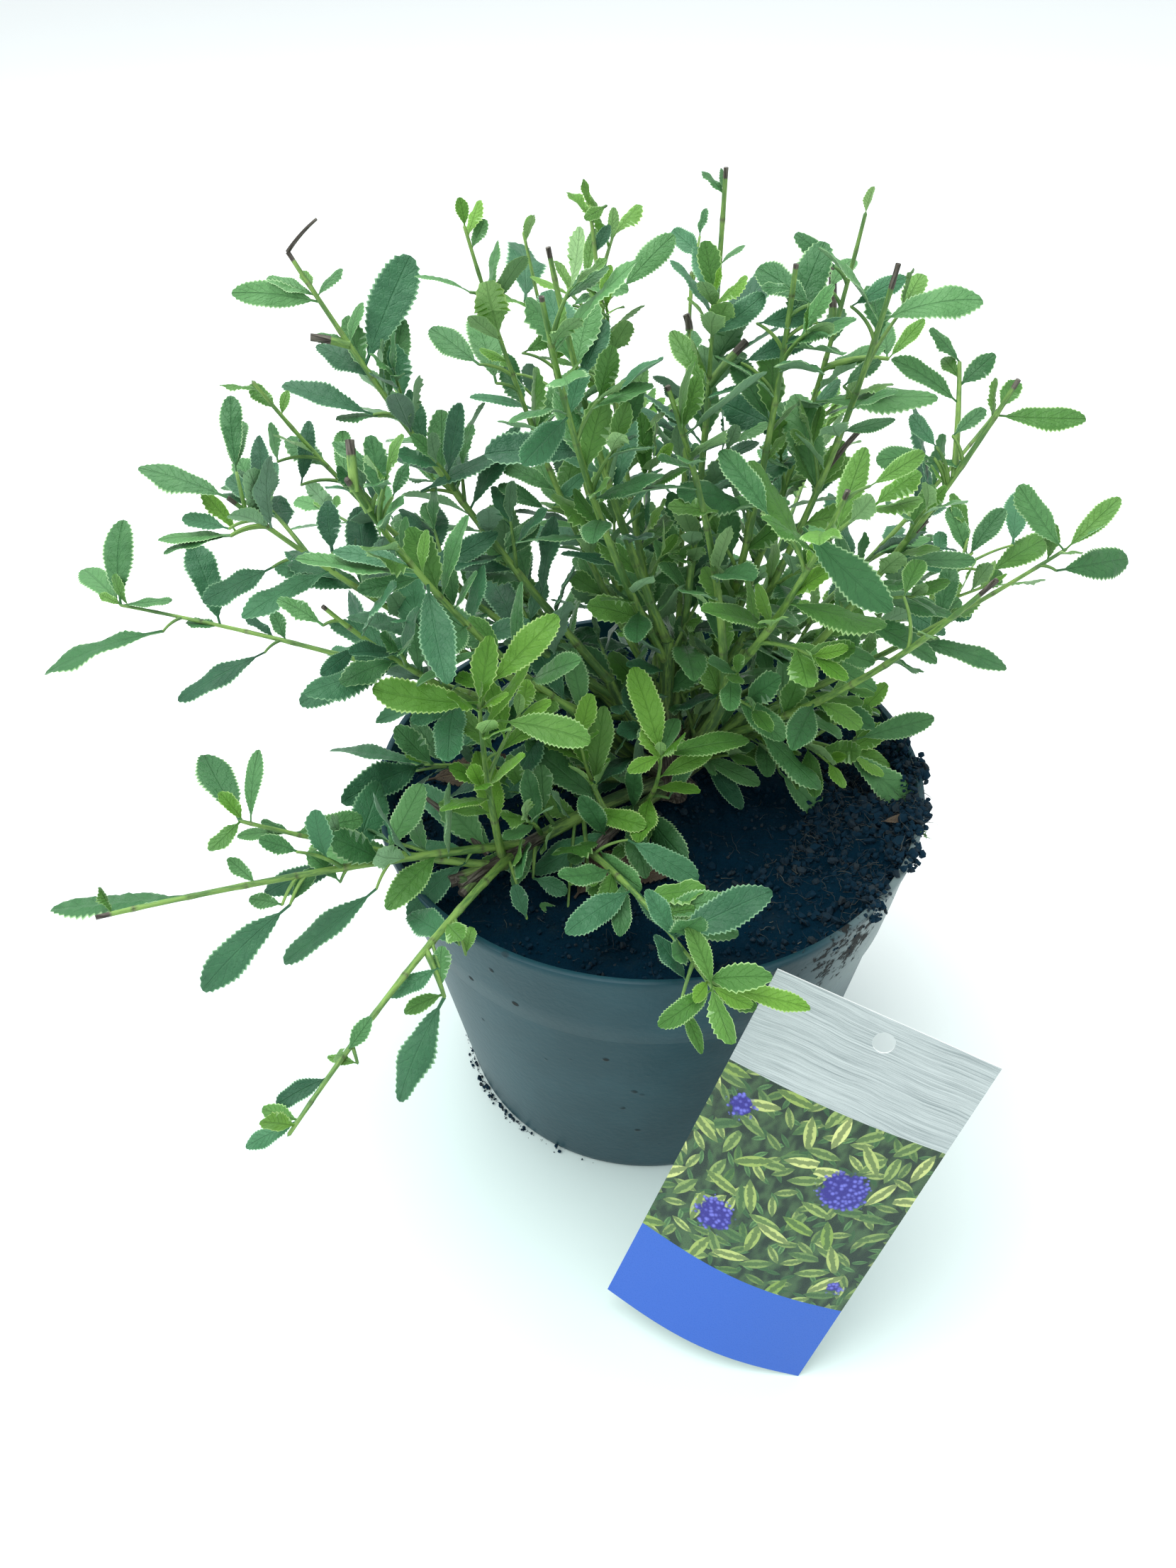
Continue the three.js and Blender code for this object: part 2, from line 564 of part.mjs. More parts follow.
// Boughs: each is cut clear of the trunk and of the boughs before it where they crowd at the fork.
const fatLimbs = [trunkSolid(CLEARANCE)];

function fattened(path, [footRadius, tipRadius], sides, steps) {
  return limb(path, footRadius + CUT_CLEARANCE, tipRadius + CUT_CLEARANCE, sides, steps);
}

function clearedLimb(path, [footRadius, tipRadius], sides, steps) {
  let solid = limb(path, footRadius, tipRadius, sides, steps);
  fatLimbs.forEach((other) => {
    if (boxesMeet(solid.boundingBox(), other.boundingBox(), 0)) {
      solid = solid.subtract(other);
    }
  });
  return mainBody(solid);
}

BOUGHS.forEach((bough) => {
  const name = `bough_${bough.name}`;
  const tip = place(bough.tip);
  const foot = trunkAxis(bough.leaves - BOUGH_ROOT);
  const outward = new THREE.Vector3(tip.x - foot.x, tip.y - foot.y, 0).normalize();
  bough.path = bend(foot.addScaledVector(outward, 1.5), tip, bough.bow);
  const ends = [bough.radius, bough.radius * BOUGH_TAPER];
  const solid = clearedLimb(bough.path, ends, BOUGH_SIDES, BOUGH_STEPS);
  const past = tip.clone().addScaledVector(bough.path.getTangentAt(1), CUT_CLEARANCE);
  fatLimbs.push(fattened(bend(bough.path.v0, past, bough.bow), ends, BOUGH_SIDES, BOUGH_STEPS));
  keep(name, solid);
  shrub.add(meshOf(name, solid, finishes.bough));
});

// Stems of the sprays: the first goes on from its bough's tip, the others fork off behind it.
const sprays = [];
BOUGHS.forEach((bough, b) => {
  bough.sprays.forEach((spray, s) => {
    const owner = `spray_${bough.name}_${s + 1}`;
    const back = Math.max(0.6, spray.fork);
    const from = bough.path.getPointAt(1 - back / bough.path.getLength());
    const path = bend(from, place(spray.tip), spray.bow);
    const foot = Math.min(STEM_RADIUS, bough.radius * STEM_SHARE);
    const ends = [foot, foot * (spray.cut ? CUT_TAPER : GROWING_TAPER)];
    const stem = clearedLimb(path, ends, STEM_SIDES, STEM_STEPS);
    fatLimbs.push(fattened(path, ends, STEM_SIDES, STEM_STEPS));
    keep(owner, stem);
    sprays.push({ owner, spray, path, stem, seed: 100 * b + 10 * s + 7 });
  });
});

// Leaves and twigs: one that would come too near another piece is left out.
sprays.forEach(({ owner, spray, path, stem, seed }) => {
  const { leaves, twigs } = grow(spray, path, seed);
  const parts = [stem];
  twigs.forEach(({ from, to }) => {
    const twig = limb(bend(from, to, 0.5), TWIG_RADIUS, TWIG_RADIUS * 0.7, TWIG_SIDES, TWIG_STEPS);
    if (standsClear(owner, twig, CLEARANCE)) {
      parts.push(twig);
      keep(owner, twig);
    }
  });
  leaves.forEach((leaf) => {
    const solid = leafSolid(leaf);
    if (standsClear(owner, solid, CLEARANCE)) {
      parts.push(solid);
      keep(owner, solid);
    }
  });
  shrub.add(meshOf(owner, mainBody(wasm.Manifold.union(parts)), finishes.foliage));
});

export default shrub;
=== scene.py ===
# A young california lilac (Ceanothus), cut back, in its round nursery pot, with its plant card.
# Sizes are in millimetres, as on the drawing, and MM turns them to Blender's metres. The origin is
# the middle of the pot's flat underside, -Y is the front, and bearings are counted from +X. In a
# material, places and distances are in metres.
import math
import bpy
import numpy as np
from mathutils import Matrix, Quaternion, Vector, noise


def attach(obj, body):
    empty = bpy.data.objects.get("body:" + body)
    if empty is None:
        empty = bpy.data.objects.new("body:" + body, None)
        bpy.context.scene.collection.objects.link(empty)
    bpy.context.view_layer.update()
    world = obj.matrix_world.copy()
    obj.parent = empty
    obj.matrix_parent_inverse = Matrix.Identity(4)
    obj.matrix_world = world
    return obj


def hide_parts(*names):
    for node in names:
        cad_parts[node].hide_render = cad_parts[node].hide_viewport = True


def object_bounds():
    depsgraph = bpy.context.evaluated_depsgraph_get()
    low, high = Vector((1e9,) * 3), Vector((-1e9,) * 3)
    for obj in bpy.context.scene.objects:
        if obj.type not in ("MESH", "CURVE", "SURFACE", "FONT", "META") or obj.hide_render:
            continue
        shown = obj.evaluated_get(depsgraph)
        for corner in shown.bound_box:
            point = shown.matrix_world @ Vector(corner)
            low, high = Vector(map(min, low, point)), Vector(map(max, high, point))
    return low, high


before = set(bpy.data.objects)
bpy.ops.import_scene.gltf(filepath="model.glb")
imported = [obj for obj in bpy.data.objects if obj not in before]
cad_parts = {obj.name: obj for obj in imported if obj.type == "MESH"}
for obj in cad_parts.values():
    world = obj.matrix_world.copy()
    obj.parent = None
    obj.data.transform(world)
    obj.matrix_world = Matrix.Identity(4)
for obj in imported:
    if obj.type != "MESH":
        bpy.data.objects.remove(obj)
cad_box = [list(corner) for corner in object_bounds()]
MM = 0.001

# ---- Pot
# A round nursery pot moulded from dark slate-grey plastic: a thin wall, a deep collar under the
# rim, a foot ring and a middle disc that it stands on, and eight drain holes in its floor.
POT_HEIGHT = 140
RIM_RADIUS = 95
COLLAR_HEIGHT = 37
COLLAR_FOOT_RADIUS = 89.7
COLLAR_STEP = 1.3
BASE_RADIUS = 73.6
WALL = 1.6
FLOOR_TOP = 3.6
DRAIN_HOLES = 8
DRAIN_RADIUS = 5.5
DRAIN_CIRCLE = 52
COLLAR_FOOT = POT_HEIGHT - COLLAR_HEIGHT
BODY_TOP_RADIUS = COLLAR_FOOT_RADIUS - COLLAR_STEP


def deselect():
    """Drops the selection, so that an operator acts on the next piece only."""
    bpy.ops.object.select_all(action="DESELECT")


def turned(name, rings, sides):
    """A round wall drawn up ring by ring from its first ring, each ring (radius, height)."""
    deselect()
    radius, height = rings[0]
    bpy.ops.mesh.primitive_circle_add(vertices=sides, radius=radius * MM)
    piece = bpy.context.object
    piece.name = name
    piece.data.name = name
    bpy.ops.object.mode_set(mode="EDIT")
    bpy.ops.transform.translate(value=(0, 0, height * MM))
    for next_radius, next_height in rings[1:]:
        rise = (next_height - height) * MM
        draw = next_radius / radius
        bpy.ops.mesh.extrude_edges_move(TRANSFORM_OT_translate={"value": (0, 0, rise)})
        bpy.ops.transform.resize(value=(draw, draw, 1), center_override=(0, 0, 0))
        radius, height = next_radius, next_height
    bpy.ops.mesh.select_all(action="SELECT")
    bpy.ops.mesh.fill_holes(sides=0)
    bpy.ops.mesh.normals_make_consistent(inside=False)
    bpy.ops.object.mode_set(mode="OBJECT")
    return piece


def cut_away(piece, cutter):
    """Takes the cutter's shape out of a piece, and the cutter away."""
    cut = piece.modifiers.new("cut", "BOOLEAN")
    cut.operation = "DIFFERENCE"
    cut.object = cutter
    cut.solver = "EXACT"
    deselect()
    bpy.context.view_layer.objects.active = piece
    bpy.ops.object.modifier_apply(modifier="cut")
    bpy.data.objects.remove(cutter)


def smooth(piece, degrees=35):
    """Shades a piece smooth, apart from edges sharper than the angle."""
    deselect()
    piece.select_set(True)
    bpy.context.view_layer.objects.active = piece
    bpy.ops.object.shade_smooth_by_angle(angle=math.radians(degrees))


def seat(piece, slot, *nodes):
    """A finished piece stands in the object's one body, in place of its CAD solids."""
    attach(piece, "root")
    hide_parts(*nodes)


def inner_radius(z):
    """How far the inside of the pot's wall stands from its axis, at a height."""
    if z > COLLAR_FOOT:
        share = (z - COLLAR_FOOT) / COLLAR_HEIGHT
        return BODY_TOP_RADIUS + (RIM_RADIUS - 0.7 - BODY_TOP_RADIUS) * share - WALL
    return BASE_RADIUS + (BODY_TOP_RADIUS - BASE_RADIUS) * z / COLLAR_FOOT - WALL


def on_circle(reach, bearing):
    """The x and y of a place, so far from the axis, at a bearing in radians."""
    return reach * math.cos(bearing), reach * math.sin(bearing)


pot_rings = [
    (19.2, 0), (20, 0.1), (22, 1.4), (65.6, 1.4), (68.6, 0.1), (69.2, 0), (72.2, 0), (73.2, 0.6),
    (73.7, 1.8), (74.1, 4), (79, 38), (84, 72.5), (88.2, 101.6), (88.35, 102.7), (88.7, 103),
    (89.5, 103.05), (89.72, 103.4), (91.4, 115), (93.9, 134.4), (94.2, 136.9), (94.55, 137.3),
    (94.95, 137.6), (95, 138.2), (95, 139.4), (94.8, 139.85), (94.4, 140), (93.1, 140),
    (92.75, 139.8), (inner_radius(139), 139.2), (inner_radius(125), 125),
    (inner_radius(103), 103), (inner_radius(60), 60), (inner_radius(8), 8),
    (inner_radius(4) - 2, FLOOR_TOP), (14, FLOOR_TOP),
]
pot = turned("pot_wall", pot_rings, 144)
deselect()
for hole in range(DRAIN_HOLES):
    x, y = on_circle(DRAIN_CIRCLE, (hole + 0.5) * 2 * math.pi / DRAIN_HOLES)
    bpy.ops.mesh.primitive_cylinder_add(
        vertices=24, radius=DRAIN_RADIUS * MM, depth=9 * MM, location=(x * MM, y * MM, 2 * MM))
    cut_away(pot, bpy.context.object)
smooth(pot, 32)


def material(name, roughness, specular=0.5):
    """A material with its plain roughness set, its node tree and its shader."""
    made = bpy.data.materials.new(name)
    made.use_nodes = True
    shader = made.node_tree.nodes["Principled BSDF"]
    shader.inputs["Roughness"].default_value = roughness
    shader.inputs["Specular IOR Level"].default_value = specular
    return made, made.node_tree, shader


def feed(tree, socket, value):
    """Links a socket to the socket given for it, or sets it to the value."""
    if isinstance(value, bpy.types.NodeSocket):
        tree.links.new(value, socket)
    else:
        socket.default_value = value


def put(tree, kind, settings=None, **sockets):
    """Adds a node, with its settings and what feeds its named sockets."""
    node = tree.nodes.new("ShaderNode" + kind)
    for key, value in (settings or {}).items():
        setattr(node, key, value)
    for name, value in sockets.items():
        feed(tree, node.inputs[name.replace("_", " ")], value)
    return node


def sums(tree, operation, *values):
    """The result of one sum, each of its values a number or a socket."""
    node = put(tree, "Math", {"operation": operation})
    for socket, value in zip(node.inputs, values):
        feed(tree, socket, value)
    return node.outputs[0]


def fade(tree, value, low, high, from_value=0.0, to_value=1.0):
    """Eases a value's range low..high to from_value..to_value."""
    return put(tree, "MapRange", {"interpolation_type": "SMOOTHSTEP"}, Value=value, From_Min=low,
               From_Max=high, To_Min=from_value, To_Max=to_value).outputs[0]


def blend(tree, factor, first, second):
    """One colour laid over another by a factor."""
    node = put(tree, "Mix", {"data_type": "RGBA"}, Factor=factor)
    for socket, value in ((node.inputs[6], first), (node.inputs[7], second)):
        feed(tree, socket, (*value, 1) if isinstance(value, tuple) else value)
    return node.outputs[2]


def graded(tree, value, low, high, first, second):
    """A colour that goes from the first to the second as a value goes from low to high."""
    return blend(tree, fade(tree, value, low, high), first, second)


def laid(tree, mask, strength, under, over):
    """A colour laid over another where a mask is, at part strength."""
    return blend(tree, sums(tree, "MULTIPLY", mask, strength), under, over)


def noise_of(tree, where, scale, detail=2.0, roughness=0.5):
    """A cloudy noise, from 0 to 1."""
    return put(tree, "TexNoise", Vector=where, Scale=scale, Detail=detail,
               Roughness=roughness).outputs[0]


def stretched(tree, where, *scale):
    """Places drawn together by a scale on each axis, so that a pattern on them stretches."""
    return put(tree, "Mapping", Vector=where, Scale=scale).outputs[0]


def object_place(tree):
    """The place on the surface, in the object's own metres."""
    return put(tree, "TexCoord").outputs["Object"]


def tone_of(tree):
    """How light or dark, or how woody, the mesh says that the part is."""
    return put(tree, "Attribute", {"attribute_name": "tone"}).outputs["Fac"]


def distance_to(tree, where, place):
    """How far from a place it is."""
    node = put(tree, "VectorMath", {"operation": "DISTANCE"}, Vector=where)
    node.inputs[1].default_value = place
    return node.outputs["Value"]


def paint(tree, shader, colour):
    """Gives the shader its colour."""
    tree.links.new(colour, shader.inputs["Base Color"])


def raised(tree, shader, height, distance):
    """Lets a height raise the surface."""
    bump = put(tree, "Bump", Height=height, Strength=1.0, Distance=distance * MM)
    tree.links.new(bump.outputs[0], shader.inputs["Normal"])


SLATE = (0.006, 0.039, 0.053)
SLATE_PALE = (0.012, 0.054, 0.071)
SCUFF = (0.1, 0.15, 0.165)
# Painted reflection on the pot's right side: its pale colour here, and its middle two lines down.
PAINTED_SHEEN = (0.2, 0.26, 0.26)
SOIL_SMEAR = (0.016, 0.018, 0.018)
PAINTED_SHEEN_MIDDLE = (0.088, -0.05, 0.118)
SMEAR_MIDDLE = (0.069, -0.074, 0.128)
plastic, tree, shader = material("pot_plastic", 0.42, 0.21)
where = object_place(tree)
clouds = noise_of(tree, where, 26.0, 5.0, 0.6)
body = graded(tree, clouds, 0.35, 0.7, SLATE, SLATE_PALE)
streaks = noise_of(tree, stretched(tree, where, 3.0, 3.0, 40.0), 30.0, 6.0, 0.75)
scuffs = fade(tree, streaks, 0.66, 0.8, 0.0, 0.5)
wear_and_sheen = blend(tree, scuffs, body, SCUFF)
# Round one place on the pot's right side the wall is painted paler. This is painted reflection,
# the pale sheen of the light on the plastic there, laid over the scuffed body.
to_sheen = distance_to(tree, where, PAINTED_SHEEN_MIDDLE)
sheen = fade(tree, sums(tree, "MULTIPLY_ADD", clouds, 0.012, to_sheen), 0.062, 0.022)
wear_and_sheen = laid(tree, sheen, 0.85, wear_and_sheen, PAINTED_SHEEN)
specks = put(tree, "TexVoronoi", Vector=where, Scale=95.0, Randomness=1.0)
sparse = noise_of(tree, where, 45.0, 2.0)
speck = sums(tree, "MULTIPLY", fade(tree, specks.outputs["Distance"], 0.16, 0.08),
             fade(tree, sparse, 0.52, 0.6))
near = fade(tree, distance_to(tree, where, SMEAR_MIDDLE), 0.042, 0.006)
rough_soil = noise_of(tree, where, 240.0, 7.0, 0.7)
smear = fade(tree, sums(tree, "MULTIPLY_ADD", near, 0.27, rough_soil), 0.74, 0.82)
dirt = sums(tree, "MAXIMUM", speck, smear)
paint(tree, shader, blend(tree, dirt, wear_and_sheen, SOIL_SMEAR))
gloss = fade(tree, sums(tree, "MAXIMUM", dirt, scuffs), 0.0, 1.0, 0.4, 0.85)
tree.links.new(gloss, shader.inputs["Roughness"])
grain = noise_of(tree, where, 420.0, 3.0)
raised(tree, shader, sums(tree, "MULTIPLY_ADD", dirt, 2.0, grain), 0.12)
pot.data.materials.append(plastic)
seat(pot, "pot", "pot")

# ---- Compost
# Dark peat compost, near black when damp, filled to a finger's width under the rim and heaped
# against it on the right, where its crumbs and brown fibres lie over the rim.
SOIL_HEIGHT = 128
HEAP_BEARING = -14
HEAP_SPREAD = 32
HEAP_HEIGHT = 9
TRUNK_FOOT = np.array([8.0, 4.0, SOIL_HEIGHT])
FLAT_GROUND = 16
SOIL_EDGE = inner_radius(SOIL_HEIGHT) - 0.5
BED_RINGS = 64
dice = np.random.default_rng(41)


def eased(value, low, high):
    """0 up to low and 1 from high on, with a soft rise between them."""
    t = np.clip((value - low) / (high - low), 0, 1)
    return t * t * (3 - 2 * t)


def soil_height(x, y):
    """How high the compost lies: flat at the trunk, uneven, and heaped on the right."""
    from_trunk = np.hypot(x - TRUNK_FOOT[0], y - TRUNK_FOOT[1])
    bearing = np.degrees(np.arctan2(y, x)) - HEAP_BEARING
    heap = np.exp(-((bearing / HEAP_SPREAD) ** 2)) * eased(np.hypot(x, y), 40, 88)
    uneven = 1.1 * np.sin(x / 9 + 1) * np.cos(y / 11) + 0.7 * np.sin((x + 2 * y) / 7)
    away = eased(from_trunk, FLAT_GROUND, FLAT_GROUND + 20)
    return SOIL_HEIGHT + away * (uneven + HEAP_HEIGHT * heap)


bed_rings = [(70, 4), (inner_radius(5) - 0.5, 4), (inner_radius(COLLAR_FOOT) - 0.5, COLLAR_FOOT),
             (SOIL_EDGE, 126)]
bed_rings += [(SOIL_EDGE * (1 - i / BED_RINGS) + 1.2, 128) for i in range(BED_RINGS)]
bed = turned("compost_bed", bed_rings, 168)
for vertex in bed.data.vertices:
    if vertex.co.z > 127 * MM:
        x, y = vertex.co.x / MM, vertex.co.y / MM
        lumps = noise.fractal(Vector((x, y, 3)) / 7, 0.6, 2.1, 5)
        vertex.co.z = (float(soil_height(x, y)) + 1.3 * lumps) * MM
smooth(bed, 60)


def brought_in(name, data):
    """A new object of the scene with the data given."""
    piece = bpy.data.objects.new(name, data)
    bpy.context.collection.objects.link(piece)
    return piece


def gathered(name, parts, skins):
    """One mesh of many parts. A part gives points, quads and triangles, and may give for its
    points tone (light or dark), grain (a place along a stem) and uv, and skin for its faces."""
    points = np.concatenate([part["points"] for part in parts]) * MM
    corners, sizes, skin = [], [], []
    offset = 0
    for part in parts:
        for key in ("quads", "triangles"):
            faces = part.get(key)
            if faces is not None and len(faces):
                corners.append((faces + offset).ravel())
                sizes.append(np.full(len(faces), faces.shape[1]))
                skin.append(np.broadcast_to(part.get(key + "_skin", 0), len(faces)))
        offset += len(part["points"])
    corners = np.concatenate(corners)
    sizes = np.concatenate(sizes)
    mesh = bpy.data.meshes.new(name)
    mesh.vertices.add(len(points))
    mesh.vertices.foreach_set("co", points.ravel())
    mesh.loops.add(len(corners))
    mesh.loops.foreach_set("vertex_index", corners)
    mesh.polygons.add(len(sizes))
    mesh.polygons.foreach_set("loop_start", np.concatenate([[0], np.cumsum(sizes)[:-1]]))
    for skin_material in skins:
        mesh.materials.append(skin_material)
    mesh.polygons.foreach_set("material_index", np.concatenate(skin).astype(np.int32))
    mesh.update(calc_edges=True)
    for key, kind, field in (("tone", "FLOAT", "value"), ("grain", "FLOAT_VECTOR", "vector")):
        if key in parts[0]:
            values = np.concatenate([part[key] for part in parts]).astype(np.float32)
            mesh.attributes.new(key, kind, "POINT").data.foreach_set(field, values.ravel())
    if "uv" in parts[0]:
        uv = np.concatenate([part["uv"] for part in parts])[corners]
        mesh.uv_layers.new(name="UVMap").data.foreach_set("uv", uv.ravel())
    mesh.polygons.foreach_set("use_smooth", np.ones(len(sizes), bool))
    mesh.set_sharp_from_angle(angle=math.radians(52))
    return brought_in(name, mesh)


def crumb_shape():
    """A rough lump to copy, from a small ball."""
    deselect()
    bpy.ops.mesh.primitive_ico_sphere_add(subdivisions=1, radius=1)
    ball = bpy.context.object
    points = np.array([v.co for v in ball.data.vertices])
    faces = np.array([list(p.vertices) for p in ball.data.polygons])
    bpy.data.objects.remove(ball)
    return points, faces


CRUMB_POINTS, CRUMB_FACES = crumb_shape()


LOOSE_CRUMBS = 4600
CLODS = 34
RIM_CRUMBS = 1300
COLLAR_CRUMBS = 110
TABLE_CRUMBS = 210
HEAP_CRUMBS = 900
FIBRES = 1100
CRUMB_MOST = 2.6
CLOD_BEARING, CLOD_SPREAD = -16, 15
COLLAR_BEARING, COLLAR_SPREAD = -45, 4
TABLE_BEARING, TABLE_SPREAD = -146, 17
crumbs = []


def add_crumb(reach, bearing, size, lift, ground=None):
    """A crumb of peat, lifted over the compost, or over the table where ground is 0."""
    x, y = on_circle(reach, bearing)
    ground = soil_height(x, y) if ground is None else ground
    tone = dice.random()
    turn = Quaternion(dice.normal(size=4)).normalized().to_matrix()
    points = CRUMB_POINTS * dice.uniform(0.55, 1.25, (len(CRUMB_POINTS), 1))
    points = points * (size * dice.uniform(0.6, 1.2, 3)) @ np.array(turn)
    crumbs.append({"points": points + (x, y, ground + lift), "triangles": CRUMB_FACES,
                   "tone": np.full(len(points), tone)})


def tube_faces(rings, sides):
    """The numbers of a ring's points, of the next ones round it, and the quads ring by ring."""
    around = np.arange(sides)
    after = (around + 1) % sides
    band = np.stack([around, after, after + sides, around + sides], 1)
    return around, after, np.concatenate([band + step * sides for step in range(rings - 1)])


def strand(start, way, length, radius, sides, curl, tone):
    """A thin curling thread, as a fibre of peat or a thread of moss."""
    steps = 6
    points, heading, here = [], np.array(way, float), np.array(start, float)
    for step in range(steps):
        heading += dice.normal(0, curl, 3)
        heading /= np.linalg.norm(heading)
        across = np.cross(heading, (0.3, 0.5, 0.81))
        across /= np.linalg.norm(across)
        over = np.cross(heading, across)
        thick = radius * (1 - 0.8 * step / (steps - 1))
        for side in range(sides):
            angle = 2 * math.pi * side / sides
            points.append(here + thick * (across * math.cos(angle) + over * math.sin(angle)))
        here = here + heading * length / steps
    ends = np.array([[0, 2, 1], [0, 1, 2]]) + [[0], [(steps - 1) * sides]]
    return {"points": np.array(points), "quads": tube_faces(steps, sides)[2], "triangles": ends,
            "tone": np.full(len(points), tone)}


# Loose crumbs all over the compost.
for _ in range(LOOSE_CRUMBS):
    reach, bearing = 91 * math.sqrt(dice.random()), dice.uniform(0, 2 * math.pi)
    size = min(CRUMB_MOST, 0.42 * math.exp(dice.normal(0.25, 0.5)))
    add_crumb(reach, bearing, size, 0.35 * size)
# Clods over the rim on the right, and crumbs stuck to the collar below them.
clods = [(dice.normal(CLOD_BEARING, CLOD_SPREAD), dice.uniform(88, 96)) for _ in range(CLODS)]
for _ in range(RIM_CRUMBS):
    clod_bearing, clod_reach = clods[dice.integers(len(clods))]
    reach = min(97.0, clod_reach + dice.normal(0, 1.5))
    bearing = math.radians(clod_bearing + dice.normal(0, 1.3))
    size = min(CRUMB_MOST, 0.5 * math.exp(dice.normal(0.35, 0.5)))
    over_rim = 137.2 + 4.5 * dice.random() - 0.8 * max(0.0, reach - 95.5)
    add_crumb(reach, bearing, size, over_rim, 0)
for _ in range(COLLAR_CRUMBS):
    bearing = math.radians(dice.normal(COLLAR_BEARING, COLLAR_SPREAD))
    height = POT_HEIGHT - 3 - 26 * dice.random()
    size = 0.3 + 0.8 * dice.random() ** 3
    add_crumb(inner_radius(height) + WALL + 0.2, bearing, size, height, 0)
# Small dark crumbs on the table, in a line along the pot's foot on the left.
for _ in range(TABLE_CRUMBS):
    bearing = math.radians(dice.normal(TABLE_BEARING, TABLE_SPREAD))
    reach = 74.5 + 2.2 * dice.random() ** 3
    size = 0.2 + 0.9 * dice.random() ** 4
    add_crumb(reach, bearing, size, 0.5 * size + 1.6 * dice.random() ** 3, 0)
# The coarse crumbs of the heap.
for _ in range(HEAP_CRUMBS):
    reach, bearing = 92 - 38 * dice.random() ** 1.2, math.radians(dice.normal(-14, 21))
    size = 0.5 + 1.6 * dice.random() ** 2
    add_crumb(reach, bearing, size, 0.5 * size)

fibres = []
for _ in range(FIBRES):
    heaped = dice.random() < 0.66
    bearing = math.radians(dice.normal(-12, 24)) if heaped else dice.uniform(0, 2 * math.pi)
    reach = (94 - 40 * dice.random() ** 1.3) if heaped else 90 * math.sqrt(dice.random())
    x, y = on_circle(reach, bearing)
    z = soil_height(x, y) + 0.5 + 1.2 * dice.random() if reach < 90 else 139 + 3 * dice.random()
    way = dice.normal(0, 1, 3) * (1, 1, 0.16)
    way /= np.linalg.norm(way)
    fibres.append(strand((x, y, z), way, dice.uniform(3, 10), dice.uniform(0.07, 0.17), 3, 0.3,
                         dice.random()))

PEAT = (0.001, 0.021, 0.043)
PEAT_BROWN = (0.009, 0.027, 0.042)
peat, tree, shader = material("compost_peat", 0.95, 0.08)
where = object_place(tree)
patches = noise_of(tree, where, 90.0, 7.0, 0.7)
fine = noise_of(tree, where, 900.0, 4.0, 0.7)
paint(tree, shader, graded(tree, patches, 0.5, 0.74, PEAT, PEAT_BROWN))
raised(tree, shader, sums(tree, "MULTIPLY_ADD", patches, 2.0, fine), 1.4)
bed.data.materials.append(peat)


def speckled(name, roughness, specular, fineness, share, low, high, dark, light):
    """A skin from dark to light by the tone of each part and a fine noise. It also gives the
    noise, so that it can raise the surface. Fineness is the scale and detail of the noise."""
    made, tree, shader = material(name, roughness, specular)
    fine = noise_of(tree, object_place(tree), *fineness)
    mixed = sums(tree, "MULTIPLY_ADD", fine, share, tone_of(tree))
    paint(tree, shader, graded(tree, mixed, low, high, dark, light))
    return made, tree, shader, fine


crumb_peat, tree, shader, fine = speckled(
    "compost_crumb", 0.92, 0.2, (1200.0, 4.0), 0.35, 0.75, 1.3, (0.0015, 0.02, 0.04),
    (0.026, 0.036, 0.042))
raised(tree, shader, fine, 0.3)
fibre_brown = speckled("compost_fibre", 0.8, 0.5, (700.0, 3.0), 0.4, 0.5, 1.3,
                       (0.01, 0.02, 0.027), (0.075, 0.08, 0.066))[0]

seat(bed, "compost", "compost")
crumb_piece = gathered("compost_crumbs", crumbs, [crumb_peat])
crumb_piece.data.polygons.foreach_set("use_smooth", np.zeros(len(crumb_piece.data.polygons), bool))
seat(crumb_piece, "compost", "compost")
seat(gathered("compost_fibres", fibres, [fibre_brown]), "compost", "compost")

# ---- Plant card
# A thin printed plastic card that leans on the rim, punched with one round hole. Its print is a
# plain one: a grey wood band over a bed of leaves and small blue flower heads, and a blue foot.
CARD_TOP_LEFT = np.array([39.5, -86.4, 138.8])
CARD_TOP_RIGHT = np.array([105.3, -104.9, 118.7])
CARD_FOOT_LEFT = np.array([-10.1, -125.6, 10.2])
CARD_FOOT_RIGHT = np.array([54.5, -147.6, 0.0])
CARD_FRONT = np.array([-0.15, -0.93, 0.34])
CARD_THICKNESS = 0.6
CARD_BELLY = 6
CARD_HOLE = (0.53, 0.055)
CARD_HOLE_RADIUS = 3.4


def card_point(across, down):
    """A place on the card, by its shares of the way across and down. The card bows."""
    top = CARD_TOP_LEFT + (CARD_TOP_RIGHT - CARD_TOP_LEFT) * across
    foot = CARD_FOOT_LEFT + (CARD_FOOT_RIGHT - CARD_FOOT_LEFT) * across
    bow = CARD_BELLY * math.sin(min(1, 1.3 * down) * math.pi / 2) * math.sin(math.pi * across)
    return top + (foot - top) * down + CARD_FRONT * bow


deselect()
bpy.ops.mesh.primitive_grid_add(x_subdivisions=24, y_subdivisions=48, size=1)
card = bpy.context.object
card.name = "plant_card_print"
card.data.name = "plant_card_print"
for vertex in card.data.vertices:
    vertex.co = Vector(card_point(vertex.co.x + 0.5, 0.5 - vertex.co.y)) * MM
across = CARD_TOP_RIGHT - CARD_TOP_LEFT
into = np.cross(across, CARD_FOOT_LEFT - CARD_TOP_LEFT)
into = Vector(into / np.linalg.norm(into))
shell = card.modifiers.new("thickness", "SOLIDIFY")
shell.thickness = CARD_THICKNESS * MM
shell.offset = 1
bpy.ops.object.modifier_apply(modifier="thickness")
bpy.ops.mesh.primitive_cylinder_add(
    vertices=48, radius=CARD_HOLE_RADIUS * MM, depth=12 * MM,
    location=Vector(card_point(*CARD_HOLE)) * MM, rotation=into.to_track_quat("Z", "Y").to_euler())
cut_away(card, bpy.context.object)
smooth(card, 30)

